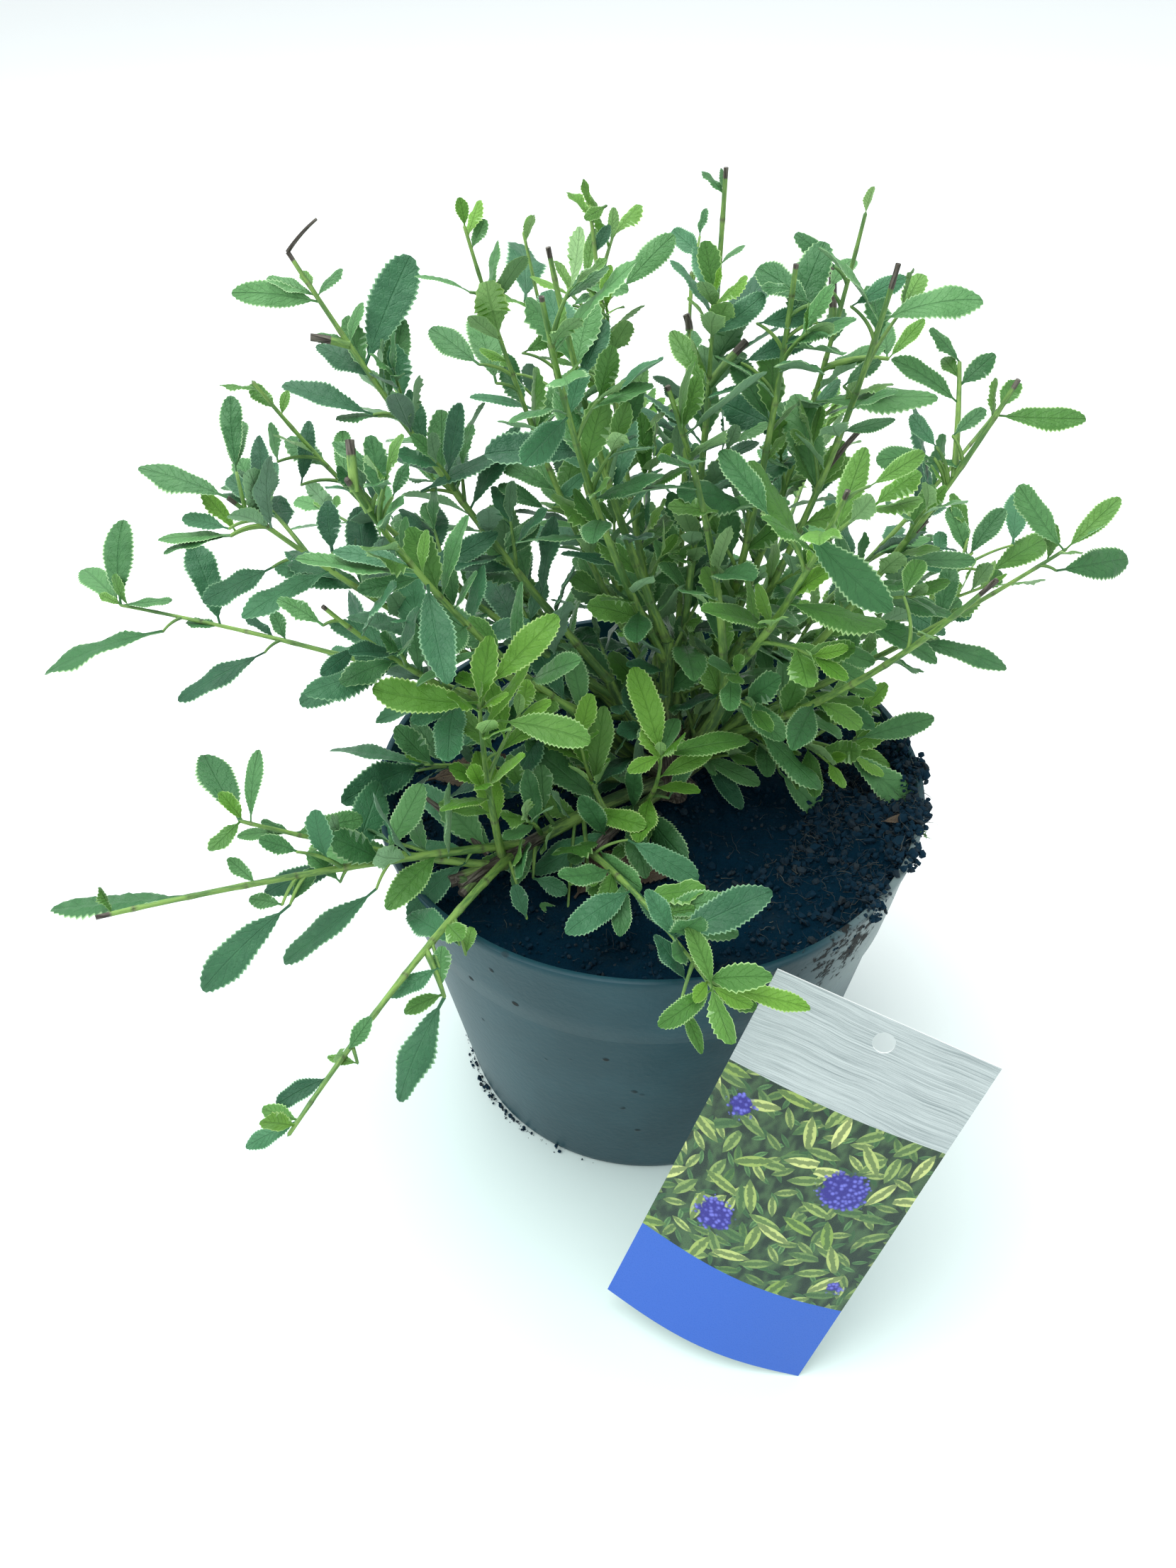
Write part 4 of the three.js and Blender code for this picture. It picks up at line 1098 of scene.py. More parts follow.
# The outermost and foremost leaves, one by one, by the stem that bears them. Each is read in a
# window of the view, enlarged till it is as wide as the view: where its foot and its tip show,
# across and down, its hue, and how broad it shows for its length. A window is given by its left
# and upper edges and its width.
WINDOWS = {"upper_left": (40, 200, 720), "upper_right": (740, 200, 720), "left": (40, 600, 720),
           "right": (740, 560, 720), "lower_left": (40, 930, 600), "front": (560, 780, 600),
           "whole": (0, 0, 1500)}
SET_LEAVES = (
    ("upper_left", (
        ("left_high_1", ((745, 405, 530, 362, 1, 0.34), (735, 390, 625, 322, 1, 0.3),
            (745, 385, 827, 297, 1, 0.27), (728, 368, 718, 305, 2, 0.45),
            (872, 572, 1008, 262, 0, 0.33), (935, 655, 990, 428, 1, 0.36),
            (850, 500, 880, 385, 1, 0.25), (908, 685, 665, 607, 0, 0.24),
            (922, 690, 808, 697, 1, 0.22), (1035, 800, 1003, 617, 0, 0.36),
            (945, 690, 990, 635, 1, 0.3), (820, 500, 745, 480, 1, 0.3),
            (1035, 890, 1290, 772, 0, 0.25), (1110, 900, 1135, 755, 0, 0.45),
            (1255, 1040, 1350, 962, 1, 0.33))),
        ("left_mid_1", ((545, 838, 530, 632, 1, 0.36), (545, 840, 555, 698, 1, 0.45),
            (532, 877, 282, 826, 1, 0.25), (800, 1050, 788, 912, 0, 0.42),
            (600, 920, 525, 850, 0, 0.5), (600, 920, 650, 812, 0, 0.5))),
        ("left_high_2", ((640, 680, 580, 605, 2, 0.4), (655, 700, 682, 620, 2, 0.4),
            (717, 872, 738, 700, 0, 0.34), (655, 810, 635, 705, 1, 0.25))),
        ("left_mid_2", ((935, 872, 798, 757, 1, 0.3), (938, 905, 890, 798, 2, 0.33),
            (960, 905, 1000, 815, 1, 0.33))),
        ("back_left_1", ((1150, 250, 1205, 165, 1, 0.35), (1165, 360, 1015, 318, 1, 0.13),
            (1190, 552, 1060, 455, 1, 0.4), (1235, 602, 1178, 420, 1, 0.4),
            (1385, 932, 1475, 840, 0, 0.4), (1372, 940, 1240, 872, 1, 0.35),
            (1212, 415, 1240, 220, 1, 0.14))),
        ("back_left_2", ((1312, 385, 1293, 230, 0, 0.7), (1305, 522, 1435, 440, 2, 0.33),
            (1290, 577, 1183, 505, 2, 0.3), (1300, 200, 1332, 155, 2, 0.4))),
        ("centre_2", ((1400, 700, 1468, 562, 0, 0.4), (1395, 700, 1305, 820, 0, 0.5))),
        ("centre_3", ((1440, 395, 1490, 365, 1, 0.3),)))),
    ("upper_right", (
        ("centre_back_1", ((370, 100, 375, 30, 1, 0.25), (358, 98, 322, 38, 1, 0.25),
            (368, 292, 440, 235, 1, 0.15))),
        ("centre_back_3", ((318, 212, 334, 135, 1, 0.3), (325, 268, 245, 195, 0, 0.5))),
        ("centre_3", ((110, 352, 250, 207, 1, 0.33), (0, 345, 130, 355, 1, 0.25),
            (70, 130, 10, 165, 2, 0.4), (40, 260, 80, 180, 0, 0.4), (15, 330, 40, 190, 2, 0.33))),
        ("centre_back_2", ((370, 415, 305, 237, 0, 0.37), (330, 470, 490, 365, 0, 0.33))),
        ("right_back_2", ((470, 443, 625, 418, 0, 0.38), (430, 548, 617, 490, 0, 0.33),
            (618, 392, 470, 295, 1, 0.4), (630, 440, 720, 435, 0, 0.25),
            (590, 360, 480, 350, 1, 0.3))),
        ("right_back_1", ((675, 292, 570, 203, 1, 0.33), (655, 347, 583, 290, 1, 0.35),
            (662, 352, 728, 272, 1, 0.5), (640, 660, 952, 640, 1, 0.16),
            (562, 742, 365, 650, 0, 0.3), (520, 905, 508, 735, 0, 0.42),
            (600, 700, 690, 590, 0, 0.3))),
        ("shoot_right_back", ((828, 532, 915, 430, 3, 0.3), (815, 540, 800, 440, 1, 0.6))),
        ("right_back_3", ((720, 398, 868, 318, 0, 0.4), (785, 435, 1072, 382, 1, 0.26),
            (700, 610, 800, 540, 1, 0.35), (690, 732, 838, 697, 1, 0.33))),
        ("shoot_right", ((980, 655, 825, 537, 1, 0.3), (1008, 530, 930, 455, 1, 0.3),
            (1013, 608, 1103, 523, 1, 0.35), (1008, 590, 962, 533, 2, 0.5))),
        ("right_1", ((1085, 672, 1345, 697, 2, 0.28), (1112, 668, 1165, 598, 2, 0.5),
            (990, 742, 1075, 668, 1, 0.35), (955, 808, 1022, 815, 1, 0.3),
            (948, 772, 880, 685, 0, 0.55), (940, 800, 785, 808, 1, 0.45))),
        ("front_right_1", ((770, 875, 915, 785, 2, 0.4), (505, 962, 370, 780, 1, 0.33))),
        ("front_right_2", ((365, 942, 230, 930, 2, 0.3),)))),
    ("right", (
        ("right_2", ((1285, 292, 1165, 122, 1, 0.28), (1300, 285, 1435, 155, 2, 0.33),
            (1310, 300, 1420, 200, 1, 0.2), (1265, 350, 1458, 318, 1, 0.38))),
        ("shoot_low_right", ((1080, 357, 1255, 255, 2, 0.38), (1030, 310, 1128, 185, 1, 0.33),
            (1150, 282, 1172, 142, 0, 0.5), (1020, 302, 980, 180, 1, 0.35),
            (1035, 245, 985, 143, 2, 0.35), (978, 347, 840, 297, 0, 0.35),
            (955, 310, 958, 245, 0, 0.5))),
        ("back_right_3", ((850, 450, 970, 522, 0, 0.45), (945, 425, 1040, 475, 0, 0.5))),
        ("right_3", ((860, 420, 905, 320, 2, 0.5),)),
        ("right_1", ((705, 470, 953, 598, 1, 0.24), (690, 430, 945, 437, 1, 0.16),
            (640, 545, 785, 595, 1, 0.33))),
        ("front_right_1", ((592, 235, 828, 458, 1, 0.36),)),
        ("low_right_2", ((550, 740, 735, 733, 2, 0.25), (485, 768, 497, 900, 1, 0.4),
            (560, 790, 620, 815, 2, 0.4), (500, 660, 448, 475, 1, 0.3),
            (575, 655, 612, 590, 1, 0.95))),
        ("low_right_1", ((735, 797, 943, 740, 1, 0.35), (735, 797, 762, 705, 2, 0.4),
            (692, 845, 910, 990, 1, 0.3), (530, 885, 672, 1017, 1, 0.34))),
        ("front_3", ((210, 828, 140, 605, 3, 0.36), (220, 838, 452, 800, 2, 0.23),
            (235, 955, 300, 830, 1, 0.33), (205, 840, 125, 885, 3, 0.45),
            (222, 830, 255, 742, 1, 0.6))),
        ("front_2", ((20, 940, 65, 708, 2, 0.35), (25, 985, 178, 1030, 3, 0.42))),
        ("bough_front", ((265, 965, 450, 1030, 1, 0.33),)),
        ("back_low_1", ((160, 438, 0, 395, 0, 0.33),)),
        ("centre_3", ((172, 380, 308, 355, 1, 0.3),)),
        ("centre_1", ((145, 372, 80, 280, 2, 0.4),)),
        ("centre_2", ((80, 292, 15, 160, 1, 0.36),)),
        ("bough_low_right", ((330, 850, 430, 985, 0, 0.38),)),
        ("bough_right_back", ((300, 650, 200, 640, 0, 0.3),)))),
    ("left", (
        ("left_1", ((235, 347, 245, 130, 1, 0.3), (235, 365, 138, 262, 1, 0.5),
            (230, 357, 375, 345, 1, 0.2), (350, 428, 32, 545, 1, 0.15),
            (620, 484, 388, 612, 0, 0.3), (500, 425, 425, 190, 0, 0.35),
            (640, 465, 565, 390, 0, 0.3), (500, 425, 410, 405, 1, 0.3),
            (915, 535, 712, 622, 0, 0.3))),
        ("left_mid_1", ((530, 172, 335, 185, 1, 0.16), (530, 175, 348, 222, 1, 0.2),
            (640, 258, 455, 350, 0, 0.3), (525, 155, 400, 125, 0, 0.35),
            (545, 165, 452, 55, 3, 0.3), (870, 345, 645, 255, 0, 0.3),
            (1150, 458, 1328, 400, 0, 0.2))),
        ("left_2", ((860, 470, 768, 545, 0, 0.6), (775, 412, 652, 340, 1, 0.38))),
        ("left_mid_2", ((1060, 295, 1105, 570, 0, 0.38), (1025, 292, 865, 320, 1, 0.38),
            (1010, 265, 800, 215, 0, 0.25))),
        ("left_high_2", ((1075, 240, 1065, 88, 0, 0.4), (1090, 245, 1240, 165, 0, 0.33))),
        ("front_left_2", ((1215, 572, 1400, 385, 3, 0.33), (1190, 612, 905, 580, 3, 0.33),
            (1245, 665, 1487, 722, 2, 0.34), (1235, 752, 1100, 625, 2, 0.4),
            (1248, 910, 1080, 885, 2, 0.3), (1205, 580, 1130, 545, 3, 0.5))),
        ("front_2", ((1500, 888, 1312, 718, 1, 0.33),)),
        ("front_left_3", ((560, 918, 458, 755, 1, 0.45), (590, 915, 605, 740, 1, 0.2),
            (568, 915, 498, 855, 3, 0.35), (545, 940, 472, 1012, 2, 0.5),
            (692, 965, 882, 925, 1, 0.38), (690, 985, 545, 972, 1, 0.2),
            (690, 960, 610, 930, 1, 0.3), (945, 990, 1040, 832, 1, 0.33))),
        ("left_low_1", ((1025, 790, 790, 745, 0, 0.22), (1025, 793, 820, 885, 0, 0.5),
            (1030, 790, 990, 735, 3, 0.4))),
        ("front_left_4", ((845, 1040, 925, 828, 0, 0.5),)),
        ("left_high_1", ((1240, 240, 1350, 130, 1, 0.33),)))),
    ("lower_left", (
        ("front_left_4", ((510, 572, 60, 577, 1, 0.1), (255, 605, 215, 503, 2, 0.25),
            (825, 560, 540, 840, 0, 0.33), (1100, 510, 805, 748, 0, 0.3),
            (830, 550, 898, 447, 1, 0.5), (985, 488, 875, 390, 1, 0.33),
            (800, 560, 692, 540, 1, 0.4), (1300, 410, 1130, 577, 2, 0.4),
            (1385, 425, 1200, 600, 0, 0.33))),
        ("shoot_low_left", ((1320, 880, 1170, 1195, 0, 0.36), (1300, 850, 1188, 905, 2, 0.4),
            (1320, 822, 1310, 690, 1, 0.42))),
        ("front_left_1", ((1365, 688, 1205, 590, 0, 0.5), (1300, 760, 1142, 855, 0, 0.45),
            (1040, 1050, 1085, 918, 1, 0.4), (1040, 1065, 943, 1045, 2, 0.35),
            (950, 1110, 780, 1200, 0, 0.4), (845, 1240, 680, 1335, 0, 0.4),
            (850, 1245, 735, 1210, 2, 0.5), (1385, 720, 1405, 630, 2, 0.5))))),
    ("front", (
        ("front_1", ((590, 912, 402, 1027, 0, 0.4), (740, 1045, 1065, 890, 0, 0.36),
            (780, 1035, 660, 885, 0, 0.33), (902, 1190, 790, 990, 2, 0.34),
            (915, 1205, 1187, 1268, 3, 0.28), (880, 1212, 697, 1322, 2, 0.4),
            (770, 1250, 838, 1412, 2, 0.36), (790, 1180, 685, 1030, 0, 0.35),
            (602, 728, 828, 858, 0, 0.36), (580, 870, 716, 1012, 0, 0.17))),
        ("bough_front", ((560, 708, 298, 835, 0, 0.3),)),
        ("bough_front_left", ((300, 830, 180, 790, 1, 0.4), (410, 970, 320, 935, 1, 0.35),
            (300, 850, 410, 900, 0, 0.4))),
        ("low_right_2", ((1100, 240, 1190, 180, 1, 0.8),)),
        ("bough_left", ((560, 440, 640, 340, 0, 0.33),)),
        ("bough_back_left_low", ((480, 230, 350, 110, 0, 0.25),)),
        ("bough_right_back", ((820, 350, 700, 400, 0, 0.3),)),
        ("front_left_1", ((280, 980, 240, 870, 0, 0.4),)))),
)


def seen_from_eye(points):
    """Where points show in the view, across and down, and how far ahead of the eye they lie."""
    off = points - EYE
    ahead = off @ AHEAD
    return (VIEW_WIDE / 2 + FOCAL * (off @ ASIDE) / ahead,
            VIEW_HIGH / 2 - FOCAL * (off @ OVER) / ahead, ahead)


def place_seen(across, down, ahead):
    """The place that shows there in the view, so far ahead of the eye."""
    return EYE + ahead * (AHEAD + ASIDE * (across - VIEW_WIDE / 2) / FOCAL
                          - OVER * (down - VIEW_HIGH / 2) / FOCAL)


def in_view(window, across, down):
    """A place read in a window, in the whole view."""
    left, top, wide = WINDOWS[window]
    scale = wide / VIEW_WIDE
    return left + across * scale, top + down * scale


def nearest_seen(points, place):
    """Which point shows nearest to a place in the view, and how far ahead of the eye it lies."""
    across, down, ahead = seen_from_eye(points)
    nearest = int(np.hypot(across - place[0], down - place[1]).argmin())
    return nearest, ahead[nearest]


LIMB_FOOT = 10
LEAF_BREADTH = 0.34
SMALL_LEAF_BREADTH = 0.4
MOST_LEAN = math.radians(58)
MOST_TILT = 78
LEAST_TILT = 12
TWIG_FROM = 3.5


def set_leaf(limb, foot, tip, hue, breadth):
    """A leaf of a limb from how it shows: one broader than a leaf is leans to or from the eye,
    and a narrow one shows its edge. A leaf that starts clear of its limb has a short twig."""
    nearest, ahead = nearest_seen(limb.points[LIMB_FOOT:], foot)
    root = limb.points[LIMB_FOOT + nearest]
    foot, tip_down = place_seen(*foot, ahead), tip[1] - foot[1]
    tip = place_seen(*tip, ahead)
    length = float(np.linalg.norm(tip - foot))
    whole = LEAF_BREADTH if length > 17 else SMALL_LEAF_BREADTH
    if breadth > whole + 0.02:
        lean = min(MOST_LEAN, math.acos(whole / min(breadth, 1.2)))
        tip = tip + unit(tip - EYE) * length * math.tan(lean) * (1 if tip_down < 3 else -1)
    tip = np.clip(tip, LOW - 5, HIGH + 5)
    gap = float(np.linalg.norm(foot - root))
    if gap > TWIG_FROM:
        start = limb.at((limb.run[LIMB_FOOT + nearest] - 0.8 * gap) / limb.length)
        side_twig = Path(start, foot, 0.12 * gap).line(1.2)
        twig_rods.append(rod(side_twig, (0.62, 0.42), 7, 0.0, start=gap))
        mark_limb(side_twig[2:-2], 0.7)
        root = foot
    along = unit(tip - root)
    facing = squared(EYE - (root + tip) / 2, along)
    tilt = LEAST_TILT
    if breadth < whole:
        tilt = min(MOST_TILT, math.degrees(math.acos(breadth / whole)))
    faces = [turned_about(facing, along, turn) for turn in (-tilt, tilt)]
    face = max(faces, key=lambda way: way[2])
    length = float(np.linalg.norm(tip - root))
    mark_leaf(blade_samples(root, along, face, length))
    leaves["main" if length > 15 else "small"][hue].append((root, along, face, length))


# The side shoots that carry some of these leaves: the stem each grows from, the window, and where
# its foot and its tip show.
SIDE_SHOOTS = (("shoot_right", "right_1", "upper_right", (937, 812), (1008, 546)),
               ("shoot_right_back", "right_back_1", "upper_right", (775, 604), (819, 537)),
               ("shoot_low_right", "back_right_3", "right", (885, 365), (1042, 302)),
               ("shoot_low_left", "front_left_1", "lower_left", (1270, 712), (1317, 855)))
# Short snags, each left where a shoot was pruned, with the share of its length that is green.
SNAGS = (("left_high_1", "whole", (432, 448), (396, 430), 0.5),
         ("left_mid_2", "whole", (477, 610), (446, 561), 0.7),
         ("left_mid_2", "whole", (480, 646), (444, 607), 0.6),
         ("right_back_3", "whole", (1056, 597), (1101, 544), 0.05),
         ("centre_back_2", "whole", (918, 492), (952, 435), 0.7),
         ("right_1", "whole", (1152, 675), (1182, 662), 0.3),
         ("centre_back_3", "whole", (876, 420), (875, 401), 0.2),
         ("right_back_1", "whole", (1038, 420), (1062, 341), 0.4))


def shoot_seen(parent, window, foot, tip, bow, nearer):
    """A side shoot from a stem to where its tip shows, nearer to the eye than its foot or not."""
    nearest, ahead = nearest_seen(limbs[parent].points, in_view(window, *foot))
    end = place_seen(*in_view(window, *tip), ahead - nearer)
    return Path(limbs[parent].points[nearest], end, bow)


for name, parent, window, foot, tip in SIDE_SHOOTS:
    limbs[name] = shoot_seen(parent, window, foot, tip, 1.5, 0)
    line = limbs[name].line(1.4)
    twig_rods.append(rod(line, (1.05, 0.6), 8, 0.0, start=len(name)))
    mark_limb(line, 0.9)
for number, (parent, window, foot, tip, green) in enumerate(SNAGS):
    line = shoot_seen(parent, window, foot, tip, 0.3, 3).line(1.2)
    woody = 1.2 * eased(np.linspace(0, 1, len(line)), green - 0.05, green + 0.08)
    thick = 1.3 if green > 0.1 else 0.9
    twig_rods.append(rod(line, (thick, 0.9 * thick), 10, woody, start=2.0 + number,
                         relief=bark_relief(0.04, number), cap=0.05))
    mark_limb(line, thick)

for window, seen_limbs in SET_LEAVES:
    for name, seen_leaves in seen_limbs:
        for *ends, hue, breadth in seen_leaves:
            foot, tip = in_view(window, *ends[:2]), in_view(window, *ends[2:])
            set_leaf(limbs[name], foot, tip, hue, breadth)

set_counts = {size: [len(hues) for hues in leaves[size]] for size in leaves}
set_twigs = len(twig_rods)
extras = []
for stem, foot, end, cut, phase, hue, seed in stems:
    draw = seeded(seed)
    leafy = stem.length - BARE_FOOT - (10 if cut else 3)
    count = max(2, int(leafy / NODE_SPACING + 0.5))
    for i in range(count):
        d = [draw() for _ in range(8)]
        share = (BARE_FOOT + ((i + 0.3 + 0.4 * d[0]) / count) * leafy) / stem.length
        root, way = stem.at(share), stem.way(share)
        bearing = phase + i * GOLDEN_ANGLE + 30 * (d[1] - 0.5)
        young = 0.08 * share if cut else 0.4 * share ** 2
        size = CROWN_LEAF * LEAF_LENGTH * (0.78 + 0.4 * d[2]) * (1 - young)
        spread = 60 + 16 * abs(way[2]) - 14 * share + 16 * (d[3] - 0.5)
        fresh = hue + (1 if share > 0.72 and not cut else 0)
        add_leaf(root, growth_axes(way, bearing, spread, 44 * (d[4] - 0.5)), size, fresh, "main")
        if d[5] < TWIG_SHARE:
            twig(stem.at(share + 2.4 / stem.length), way, bearing + 25, 40,
                 TWIG_LENGTH * (0.6 + 0.8 * d[6]) + 3, fresh)
        extras.append((stem, share, bearing, fresh, cut))
    if not cut:
        for k in range(2):
            d = [draw(), draw()]
            root = stem.at(1 - (1 + 2.4 * k) / stem.length)
            axes = growth_axes(stem.way(1), phase + 60 + 150 * k + 30 * d[0], 32 + 16 * k, 0)
            add_leaf(root, axes, SMALL_LEAF_LENGTH * (0.75 + 0.4 * d[1]), hue + 1, "small")
        for k, (opening, length) in enumerate(((12, 7.5), (40, 7), (46, 8.5), (58, 11.5))):
            axes = growth_axes(stem.way(1), phase + 117 * k, opening, 0)
            add_leaf(stem.at(1 - 0.9 * k / stem.length), axes, length, hue + 2, "small")

for stem, share, bearing, hue, cut in extras:
    root, way = stem.at(share), stem.way(share)
    if leaf_dice.random() < (0.75 if hue < 3 else 0.25):
        bunch(root, way, bearing, hue, 4)
    between = share + 0.5 * NODE_SPACING / stem.length
    if between < (0.9 if cut else 0.97):
        root, way = stem.at(between), stem.way(between)
        turn = bearing + 68 + leaf_dice.uniform(-25, 25)
        young = 0 if cut else 0.45 * between ** 2
        length = LEAF_LENGTH * leaf_dice.uniform(0.5, 0.8) * (1 - young)
        axes = growth_axes(way, turn, leaf_dice.uniform(48, 70), leaf_dice.uniform(-24, 24))
        add_leaf(root, axes, length, hue)
        if leaf_dice.random() < 0.5:
            bunch(root, way, turn, hue, 3)
        if leaf_dice.random() < 0.2 and between < 0.8:
            twig(root, way, turn + 180, leaf_dice.uniform(30, 48), leaf_dice.uniform(12, 26), hue)

for _, path, radius, sprays in boughs:
    hue = min(1, sprays[0][5])
    for i in range(int(path.length / 6)):
        share = (i + 0.7) * 6 / path.length
        if 0.16 < share < 0.97:
            root, way = path.at(share), path.way(share)
            turn = leaf_dice.uniform(0, 360)
            length = LEAF_LENGTH * leaf_dice.uniform(0.5, 0.85)
            axes = growth_axes(way, turn, leaf_dice.uniform(50, 80), leaf_dice.uniform(-24, 24))
            add_leaf(root + (axes[0] - way * way.dot(axes[0])) * radius * 0.6, axes, length, hue)
            bunch(root, way, turn + 60, hue, 3, 1.1)
            if leaf_dice.random() < 0.35:
                twig(root, way, turn + 180, leaf_dice.uniform(40, 70),
                     leaf_dice.uniform(14, 30), hue, 0.9)

# The ends of these stems stand open: past this share of their length they keep, of the leaves
# that the rule gives them, only the youngest. Nothing hangs over the cut stub in front either.
OPEN_FROM = {"front_left_1": 0.42, "front_left_3": 0.68, "front_left_4": 0.58, "left_1": 0.5,
             "left_high_1": 0.8, "left_high_2": 0.87, "back_left_1": 0.9, "back_left_2": 0.92,
             "centre_3": 0.89, "centre_back_1": 0.84, "centre_back_3": 0.85, "right_back_1": 0.92,
             "right_1": 0.69, "right_2": 0.7, "right_3": 0.46, "back_right_2": 0.79}
YOUNGEST = 12.5
STUB_CLEAR = 9


def at_open_end(root, reach):
    """True if a root lies within reach of a stem's open end."""
    return any(np.linalg.norm(limbs[name].points[int(200 * share):] - root, axis=1).min() < reach
               for name, share in OPEN_FROM.items())


def over_stub(points):
    """True if any of the points shows in front of the cut stub."""
    off, to_stub = points - EYE, unit(stub_end - EYE)
    ahead = off @ to_stub
    beside = np.linalg.norm(off - ahead[:, None] * to_stub, axis=1)
    return bool(((ahead < np.linalg.norm(stub_end - EYE) + 3) & (beside < STUB_CLEAR)).any())


def dropped(part):
    """True for a twig at an open end or in front of the cut stub."""
    return at_open_end(part["points"][-2], 3) or over_stub(part["points"])


bare_twigs = [part for part in twig_rods[set_twigs:] if dropped(part)]
bare_points = np.concatenate([part["points"] for part in bare_twigs])
twig_rods[set_twigs:] = [part for part in twig_rods[set_twigs:] if not dropped(part)]


def stays(leaf):
    """True for a leaf that isn't on a dropped twig, at an open end or over the stub."""
    root, along, face, length = leaf
    if np.linalg.norm(bare_points - root, axis=1).min() < 1.5:
        return False
    if length > YOUNGEST and at_open_end(root, 5):
        return False
    return not over_stub(np.array(blade_samples(root, along, face, length)))


for size in leaves:
    for grown, count in zip(leaves[size], set_counts[size]):
        grown[count:] = [leaf for leaf in grown[count:] if stays(leaf)]

# ---- Stems and twigs
# The stems that bear the leaves, green and round, a little swollen and brown at each node, browner
# near the bough, and dark at the end where they are cut. The twigs go in a piece of their own.
stem_rods = []
for stem, foot, end, cut, _, _, seed in stems:
    line = stem.line(1.6)
    share = np.linspace(0, 1, len(line))
    radii = (foot + (end - foot) * share) * (0.9 - 0.4 * share if cut else 0.86 - 0.2 * share)
    woody = 0.25 * (1 - eased(share * stem.length, 0, 40))
    if cut:
        dark = 2.0 + 10 * max(0.0, (seed * 0.37) % 1 - 0.45)
        woody = np.maximum(woody, 1.3 * eased(share * stem.length, stem.length - dark,
                                              stem.length - dark + 2.5))
        radii = radii * (1 + 0.08 * np.exp(-((1 - share) * stem.length) / 1.2))
    joint = np.sin(share * stem.length * math.pi / NODE_SPACING + 1) ** 24
    swell = 0.16 * joint
    woody = np.maximum(woody, 0.42 * joint)
    stem_rods.append(rod(line, radii * (1 + swell), 10, woody, start=seed * 0.013,
                         relief=bark_relief(0.018, seed), cap=0.05 if cut else 0.5))
# The kinked end of the tallest left shoot, above its last bud.
KINK_TIP = np.array([-94.6, 32.0, 312.4])
kink = Path(stems[0][0].at(1), KINK_TIP, 0.4)
stem_rods.append(rod(kink.line(1.2), (0.62, 0.4), 9, 0.9, start=7.0, cap=0.05))

stem_skin = skin_of_limbs("stem_green", 0.55, (0.075, 0.185, 0.045))
spray_nodes = ["spray_%s_%d" % (bough[0], k + 1) for bough in BOUGHS for k in range(len(bough[5]))]
seat(gathered("stems", stem_rods, [stem_skin]), "green_wood", *spray_nodes)
seat(gathered("twigs", twig_rods, [stem_skin]), "green_wood", *spray_nodes)

# ---- Leaves
# The blades themselves, by size and by green: toothed, folded along the rib, puckered between
# the side veins, each on a short stalk that grows from its stem. The margin is paler. The
# underside is paler too, partly its own colour and partly painted light, standing in for the light
# that shines through the leaf and up from below. The ribs are paler on the deepest green; on the
# other greens they are darker, painted shade in the sunk veins. They are joined by size and hue, a
# few hundred to a piece.


def leaf_shape(teeth, columns, length, tooth):
    """A toothed blade on its stalk, one ring of points for each place along it and one for its
    tip. Each ring runs edge, upper face, edge, lower face. Sizes are for a leaf of the length."""
    width = LEAF_WIDTH * length / 2 * (1.0 if columns == 3 else 1.32)
    outline = [(0, 0.55), (0.05, 0.5), (0.1, 0.5)]
    blade = ((0, 0.08), (0.06, 0.27), (0.14, 0.48), (0.28, 0.77), (0.42, 0.95), (0.55, 1.0),
             (0.68, 0.97), (0.8, 0.85), (0.89, 0.66), (0.95, 0.46), (1.0, 0.16))
    for i in range(teeth):
        sharp = tooth * (0.55 + 0.45 * ((i * 0.618) % 1)) * min(1.0, 0.35 + 4 * i / teeth)
        for part, out in ((0.14, -0.12), (0.82, 0.72)):
            share = (i + part) / teeth
            spread = np.interp(share, *zip(*blade)) * width
            outline.append((0.1 + 0.89 * share, max(0.5, spread + out * sharp)))
    inner = {3: (-0.55, 0.0, 0.55), 1: (0.0,)}[columns]
    points, uv = [], []
    for along, half in outline:
        stalk = along < 0.11
        blade_share = max(0.0, (along - 0.1) / 0.9)
        thick = 0.42 if stalk else 0.14
        points.append((-half, along * length, 0))
        for a in inner:
            puff = 0.16 * math.cos(2 * math.pi * (7 * blade_share - 1.2 * abs(a)))
            rise = 0.05 * half + puff if a else 0.0
            points.append((a * half, along * length, thick if stalk or a == 0 else rise + thick))
        points.append((half, along * length, 0))
        points.append((0, along * length, -0.4 if stalk else -0.3))
        uv += [(0.0, along)] + [(0.5 + a / 2, along) for a in inner] + [(1.0, along), (0.5, along)]
    ring = columns + 3
    tip = len(points)
    points.append((0, length, 0))
    uv.append((0.5, 1.0))
    around, after, quads = tube_faces(len(outline), ring)
    under = (around > columns).astype(int)
    last = (len(outline) - 1) * ring
    fan = np.stack([last + around, last + after, np.full(ring, tip)], 1)
    foot = [(0, k + 1, k) for k in range(1, ring - 1)]
    return {"points": np.array(points) / length, "uv": np.array(uv), "quads": quads,
            "quads_skin": np.tile(under, len(outline) - 1),
            "triangles": np.concatenate([fan, foot]),
            "triangles_skin": np.concatenate([under, np.zeros(ring - 2, int)])}


LEAF_SHAPES = {"main": leaf_shape(teeth=18, columns=3, length=31.0, tooth=0.98),
               "small": leaf_shape(teeth=9, columns=1, length=15.0, tooth=0.75)}


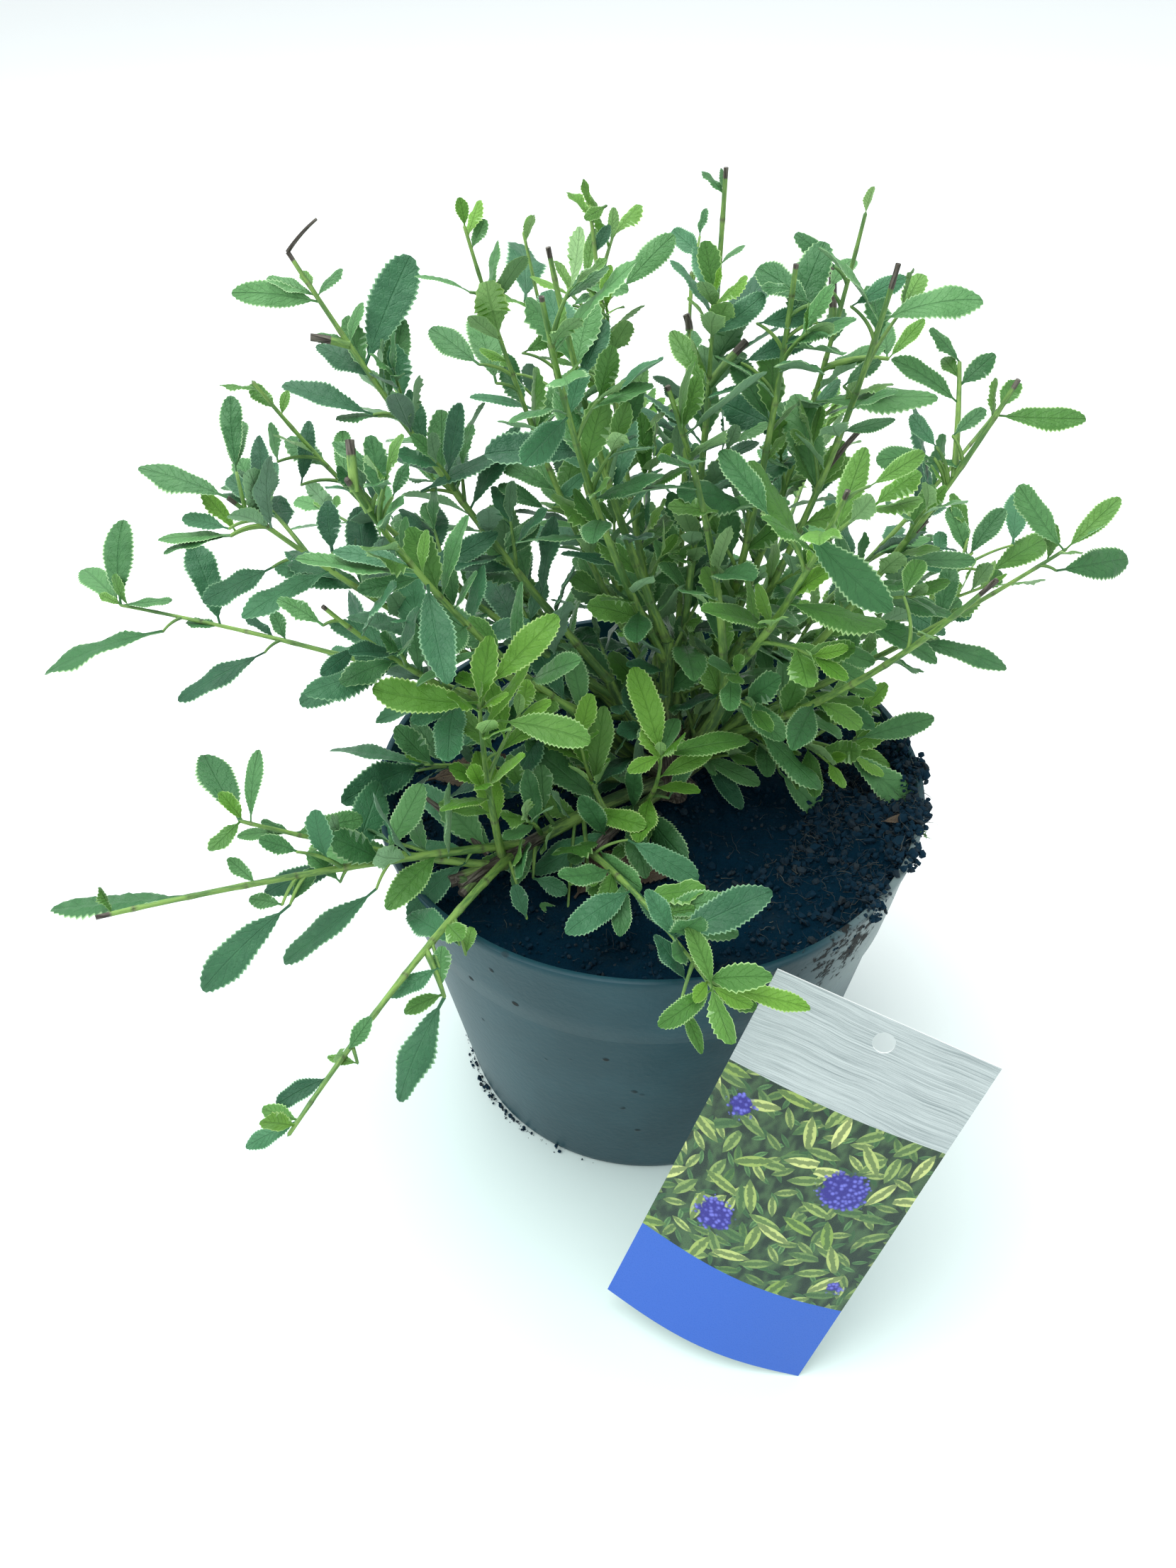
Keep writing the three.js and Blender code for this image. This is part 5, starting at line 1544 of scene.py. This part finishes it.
def blades(size, grown):
    """Every leaf of a list as one part, each bent, folded and waved a little its own way."""
    shape = LEAF_SHAPES[size]
    count = len(grown)
    root, along, face = (np.array([leaf[k] for leaf in grown]) for k in range(3))
    length = np.array([leaf[3] for leaf in grown])[:, None]
    side = np.cross(along, face)
    vary = np.random.default_rng(len(grown) + 5)
    x, y, z = (shape["points"][None, :, k] * np.ones((count, 1)) for k in range(3))
    broad = vary.uniform(0.82, 1.08, (count, 1))
    taper = vary.uniform(-0.35, 0.2, (count, 1))
    fold = vary.uniform(0.02, 0.36, (count, 1))
    droop = vary.normal(0.1, 0.06, (count, 1))
    sway = vary.normal(0, 0.05, (count, 1))
    twist = vary.normal(0, 0.22, (count, 1))
    wave = vary.uniform(0.004, 0.032, (count, 1))
    phase = vary.uniform(0, 6.28, (count, 1))
    lobed = vary.uniform(0.02, 0.11, (count, 1))
    pointed = vary.uniform(-0.1, 0.26, (count, 1))
    recurve = vary.uniform(0.0, 0.05, (count, 1))
    blade = np.clip((y - 0.1) * 6, 0, 1)
    x = x * broad * (1 + taper * (0.55 - y) + lobed * np.sin(11 * y + phase + 2.2 * np.sign(x)))
    x = x * (1 - pointed * eased(y, 0.6, 1.05))
    off = np.abs(x) / 0.165
    z = z + blade * (fold * np.abs(x) - recurve * off ** 3
                     + wave * off * np.sin(13 * y + phase + 1.5 * np.sign(x)))
    angle = twist * y
    x, z = x * np.cos(angle) - z * np.sin(angle), x * np.sin(angle) + z * np.cos(angle)
    bent = 1 - 0.4 * droop ** 2 * y ** 2
    x = x + 1.3 * sway * (y - y ** 2)
    z = z + 1.3 * droop * (y - y ** 2)
    x, y, z = x[..., None], (y * bent)[..., None], z[..., None]
    blade = side[:, None] * x + along[:, None] * y + face[:, None] * z
    points = root[:, None] + blade * length[..., None]
    n = shape["points"].shape[0]
    offset = (np.arange(count) * n)[:, None, None]
    return {"points": points.reshape(-1, 3), "uv": np.tile(shape["uv"], (count, 1)),
            "tone": np.repeat(vary.random(count), n),
            "quads": (shape["quads"][None] + offset).reshape(-1, 4),
            "quads_skin": np.tile(shape["quads_skin"], count),
            "triangles": (shape["triangles"][None] + offset).reshape(-1, 3),
            "triangles_skin": np.tile(shape["triangles_skin"], count)}


def vein_group():
    """Masks of a leaf from its own map: ribs, margin, and the height of its puckered blade."""
    group = bpy.data.node_groups.new("leaf_veins", "ShaderNodeTree")
    page = put(group, "TexCoord").outputs["UV"]
    where = object_place(group)
    warp = noise_of(group, where, 190.0, 3.0)
    spot = put(group, "SeparateXYZ", Vector=page)
    off = sums(group, "ABSOLUTE", sums(group, "MULTIPLY_ADD", spot.outputs[0], 2.0, -1.0))
    tone = tone_of(group)
    ranks = sums(group, "MULTIPLY_ADD", tone, 2.0, 6.6)
    rank = sums(group, "MULTIPLY_ADD", spot.outputs[1], ranks, sums(group, "MULTIPLY", off, -1.9))
    rank = sums(group, "MULTIPLY_ADD", warp, 1.3, rank)
    gap = sums(group, "ABSOLUTE", sums(group, "SUBTRACT", sums(group, "FRACT", rank), 0.5))
    rib = fade(group, off, 0.085, 0.02)
    side = sums(group, "MULTIPLY", fade(group, gap, 0.1, 0.02), fade(group, off, 0.95, 0.55))
    veins = sums(group, "MAXIMUM", rib, sums(group, "MULTIPLY", side, 0.5))
    net = put(group, "TexVoronoi", {"feature": "DISTANCE_TO_EDGE"}, Vector=where, Scale=900.0)
    fine = fade(group, net.outputs["Distance"], 0.0, 0.25)
    height = sums(group, "MULTIPLY_ADD", veins, -1.05, sums(group, "MULTIPLY", fine, 0.3))
    margin = fade(group, off, 0.86, 0.98)
    mottle = noise_of(group, where, 150.0, 6.0, 0.72)
    end = group.nodes.new("NodeGroupOutput")
    for name, value in (("Veins", veins), ("Margin", margin), ("Height", height),
                        ("Mottle", mottle)):
        group.interface.new_socket(name, in_out="OUTPUT", socket_type="NodeSocketFloat")
        group.links.new(value, end.inputs[name])
    return group


VEINS = vein_group()


def leaf_skin(name, deep, bright, vein, margin, roughness):
    """The skin of one side of a leaf: its green, its ribs, its margin and its relief."""
    made, tree, shader = material(name, roughness, 0.28)
    masks = put(tree, "Group", {"node_tree": VEINS}).outputs
    mixed = sums(tree, "MULTIPLY_ADD", masks["Mottle"], 0.9, tone_of(tree))
    blade = graded(tree, mixed, 0.35, 1.6, deep, bright)
    # The ribs: paler on the deepest green, their own colour; darker on the other greens, painted
    # shade in the sunk veins.
    ribbed = laid(tree, masks["Veins"], 0.2, blade, vein)
    paint(tree, shader, laid(tree, masks["Margin"], 0.8, ribbed, margin))
    raised(tree, shader, masks["Height"], 0.18)
    return made


# The vein colour is paler than the blade on the deep green. On the green, fresh and young leaves
# it is darker, as painted shade.
LEAF_SKINS = (
    ("deep", (0.02, 0.09, 0.044), (0.055, 0.195, 0.084), (0.085, 0.24, 0.115), (0.26, 0.48, 0.27)),
    ("green", (0.039, 0.147, 0.048), (0.1, 0.27, 0.086), (0.028, 0.105, 0.036), (0.38, 0.6, 0.3)),
    ("fresh", (0.06, 0.185, 0.034), (0.128, 0.3, 0.055), (0.036, 0.13, 0.026), (0.42, 0.66, 0.26)),
    ("young", (0.082, 0.235, 0.026), (0.152, 0.35, 0.042), (0.052, 0.17, 0.022),
     (0.48, 0.7, 0.24)),
)
LEAF_MOST = 440
for hue, (word, deep, bright, vein, margin) in enumerate(LEAF_SKINS):
    upper = leaf_skin("leaf_" + word, deep, bright, vein, margin, 0.46)
    # The underside is paler, partly its own colour and partly painted light that stands in for the
    # light shining through the leaf and thrown up from the table.
    under_deep = tuple(1.3 * value + 0.1 for value in deep)
    under_bright = tuple(1.2 * value + 0.14 for value in bright)
    under = leaf_skin("leaf_under_" + word, under_deep, under_bright, vein, margin, 0.62)
    for size, limit in (("main", LEAF_MOST), ("small", LEAF_MOST * 3)):
        grown = leaves[size][hue]
        for first in range(0, len(grown), limit):
            label = "leaves_%s_%s_%d" % (size, word, first // limit + 1)
            seat(gathered(label, [blades(size, grown[first:first + limit])], [upper, under]),
                 "foliage", *spray_nodes)

# ---- Litter on the compost
# Fallen leaves, dry and tan, lie loose on the compost, and small cushions of bright moss, made
# of short upright threads, grow on it and on the rim.
FALLEN = ((-64, 7, 12, 28, 34), (-5, -39, 172, -25, 34), (-17, -42, 60, 15, 24),
          (84, -22, 10, 20, 12), (20, 40, 120, 0, 22))
CUSHIONS = ((-44, 58, 13, 420), (-41, -14, 7, 90), (-37, 4, 6, 70), (12, 62, 9, 120),
            (93, -30, 2.5, 40), (90, -47, 2.5, 40))
litter = []
for x, y, turn, roll, length in FALLEN:
    way = np.array([*on_circle(1, math.radians(turn)), 0.04])
    root = np.array([x, y, float(soil_height(x, y)) + 2.2]) - way * length / 2
    way = unit(way)
    litter.append((root, way, squared(turned_about(UP, way, roll), way), length))
tan, tree, shader = material("dry_leaf", 0.75)
masks = put(tree, "Group", {"node_tree": VEINS}).outputs
dry = blend(tree, masks["Mottle"], (0.045, 0.032, 0.022), (0.15, 0.11, 0.07))
paint(tree, shader, laid(tree, masks["Veins"], 0.6, dry, (0.26, 0.18, 0.11)))
raised(tree, shader, masks["Height"], 0.3)
seat(gathered("dry_leaves", [blades("main", litter)], [tan, tan]), "foliage", "compost")

moss_threads = []
for x, y, spread, count in CUSHIONS:
    for _ in range(count):
        px, py = x + dice.normal(0, spread * 0.5), y + dice.normal(0, spread * 0.5)
        if math.hypot(px, py) < 90:
            base = float(soil_height(px, py)) - 0.2
        elif math.hypot(px, py) < 96.5:
            base = 139.5
        else:
            continue
        way = unit(np.array([dice.normal(0, 0.5), dice.normal(0, 0.5), 1.0]))
        moss_threads.append(strand((px, py, base), way, dice.uniform(1.5, 4.2),
                                   dice.uniform(0.22, 0.42), 3, 0.3, dice.random()))
moss = speckled("moss", 0.8, 0.5, (500.0, 3.0), 0.5, 0.2, 1.3, (0.03, 0.1, 0.02),
                (0.16, 0.36, 0.05))[0]
seat(gathered("moss", moss_threads, [moss]), "foliage", "compost")

# ---- Table
# A wide, pale and smooth table top that the pot and the card stand on and that takes their
# shadow. Its colour is painted light: mint round the pot's front left, white further off, where
# the light falls brighter. It isn't part of the object.
TABLE_RADIUS = 6000
deselect()
bpy.ops.mesh.primitive_circle_add(vertices=128, radius=TABLE_RADIUS * MM, fill_type="NGON")
table = bpy.context.object
table.name = "table_top"
pale, tree, shader = material("table_pale", 0.45)
where = object_place(tree)
faint = noise_of(tree, where, 5.0, 3.0)
cool = blend(tree, faint, (0.72, 0.86, 0.83), (0.75, 0.88, 0.85))
# Painted light: the table fades from mint near the pot's front left to white further off.
clear = fade(tree, distance_to(tree, where, (-0.08, -0.2, 0)), 0.12, 0.42)
paint(tree, shader, blend(tree, clear, cool, (0.95, 0.97, 0.96)))
table.data.materials.append(pale)

# ---- Light
# Soft studio light that leaves pale shadows: a wide panel overhead, a smaller one from the left,
# and a bright, slightly cold room all round.
for name, place, size, power in (("top_panel", (-0.35, 0.25, 1.5), 1.6, 26),
                                 ("left_panel", (-1.3, -0.7, 0.9), 0.9, 6)):
    lamp = bpy.data.lights.new(name, "AREA")
    lamp.size = size
    lamp.energy = power
    panel = brought_in(name, lamp)
    panel.location = place
    aim = Vector((0, 0, 0.2)) - Vector(place)
    panel.rotation_mode = "QUATERNION"
    panel.rotation_quaternion = aim.to_track_quat("-Z", "Y")
room = bpy.data.worlds.new("room")
bpy.context.scene.world = room
room.use_nodes = True
room.node_tree.nodes["Background"].inputs["Color"].default_value = (0.93, 0.98, 1.0, 1)
room.node_tree.nodes["Background"].inputs["Strength"].default_value = 0.95
bpy.context.scene.view_settings.view_transform = "Standard"

# ---- Camera
# It stands where the plant is looked at from, close and high in front, with the place and the
# lens that are given with the sprays.
lens = bpy.data.cameras.new("camera")
lens.lens = LENS
lens.sensor_width = SENSOR
lens.clip_start = 0.01
camera = brought_in("camera", lens)
axes = Matrix((ASIDE, OVER, -AHEAD)).transposed().to_4x4()
camera.matrix_world = Matrix.Translation(Vector(EYE * MM)) @ axes
bpy.context.scene.camera = camera
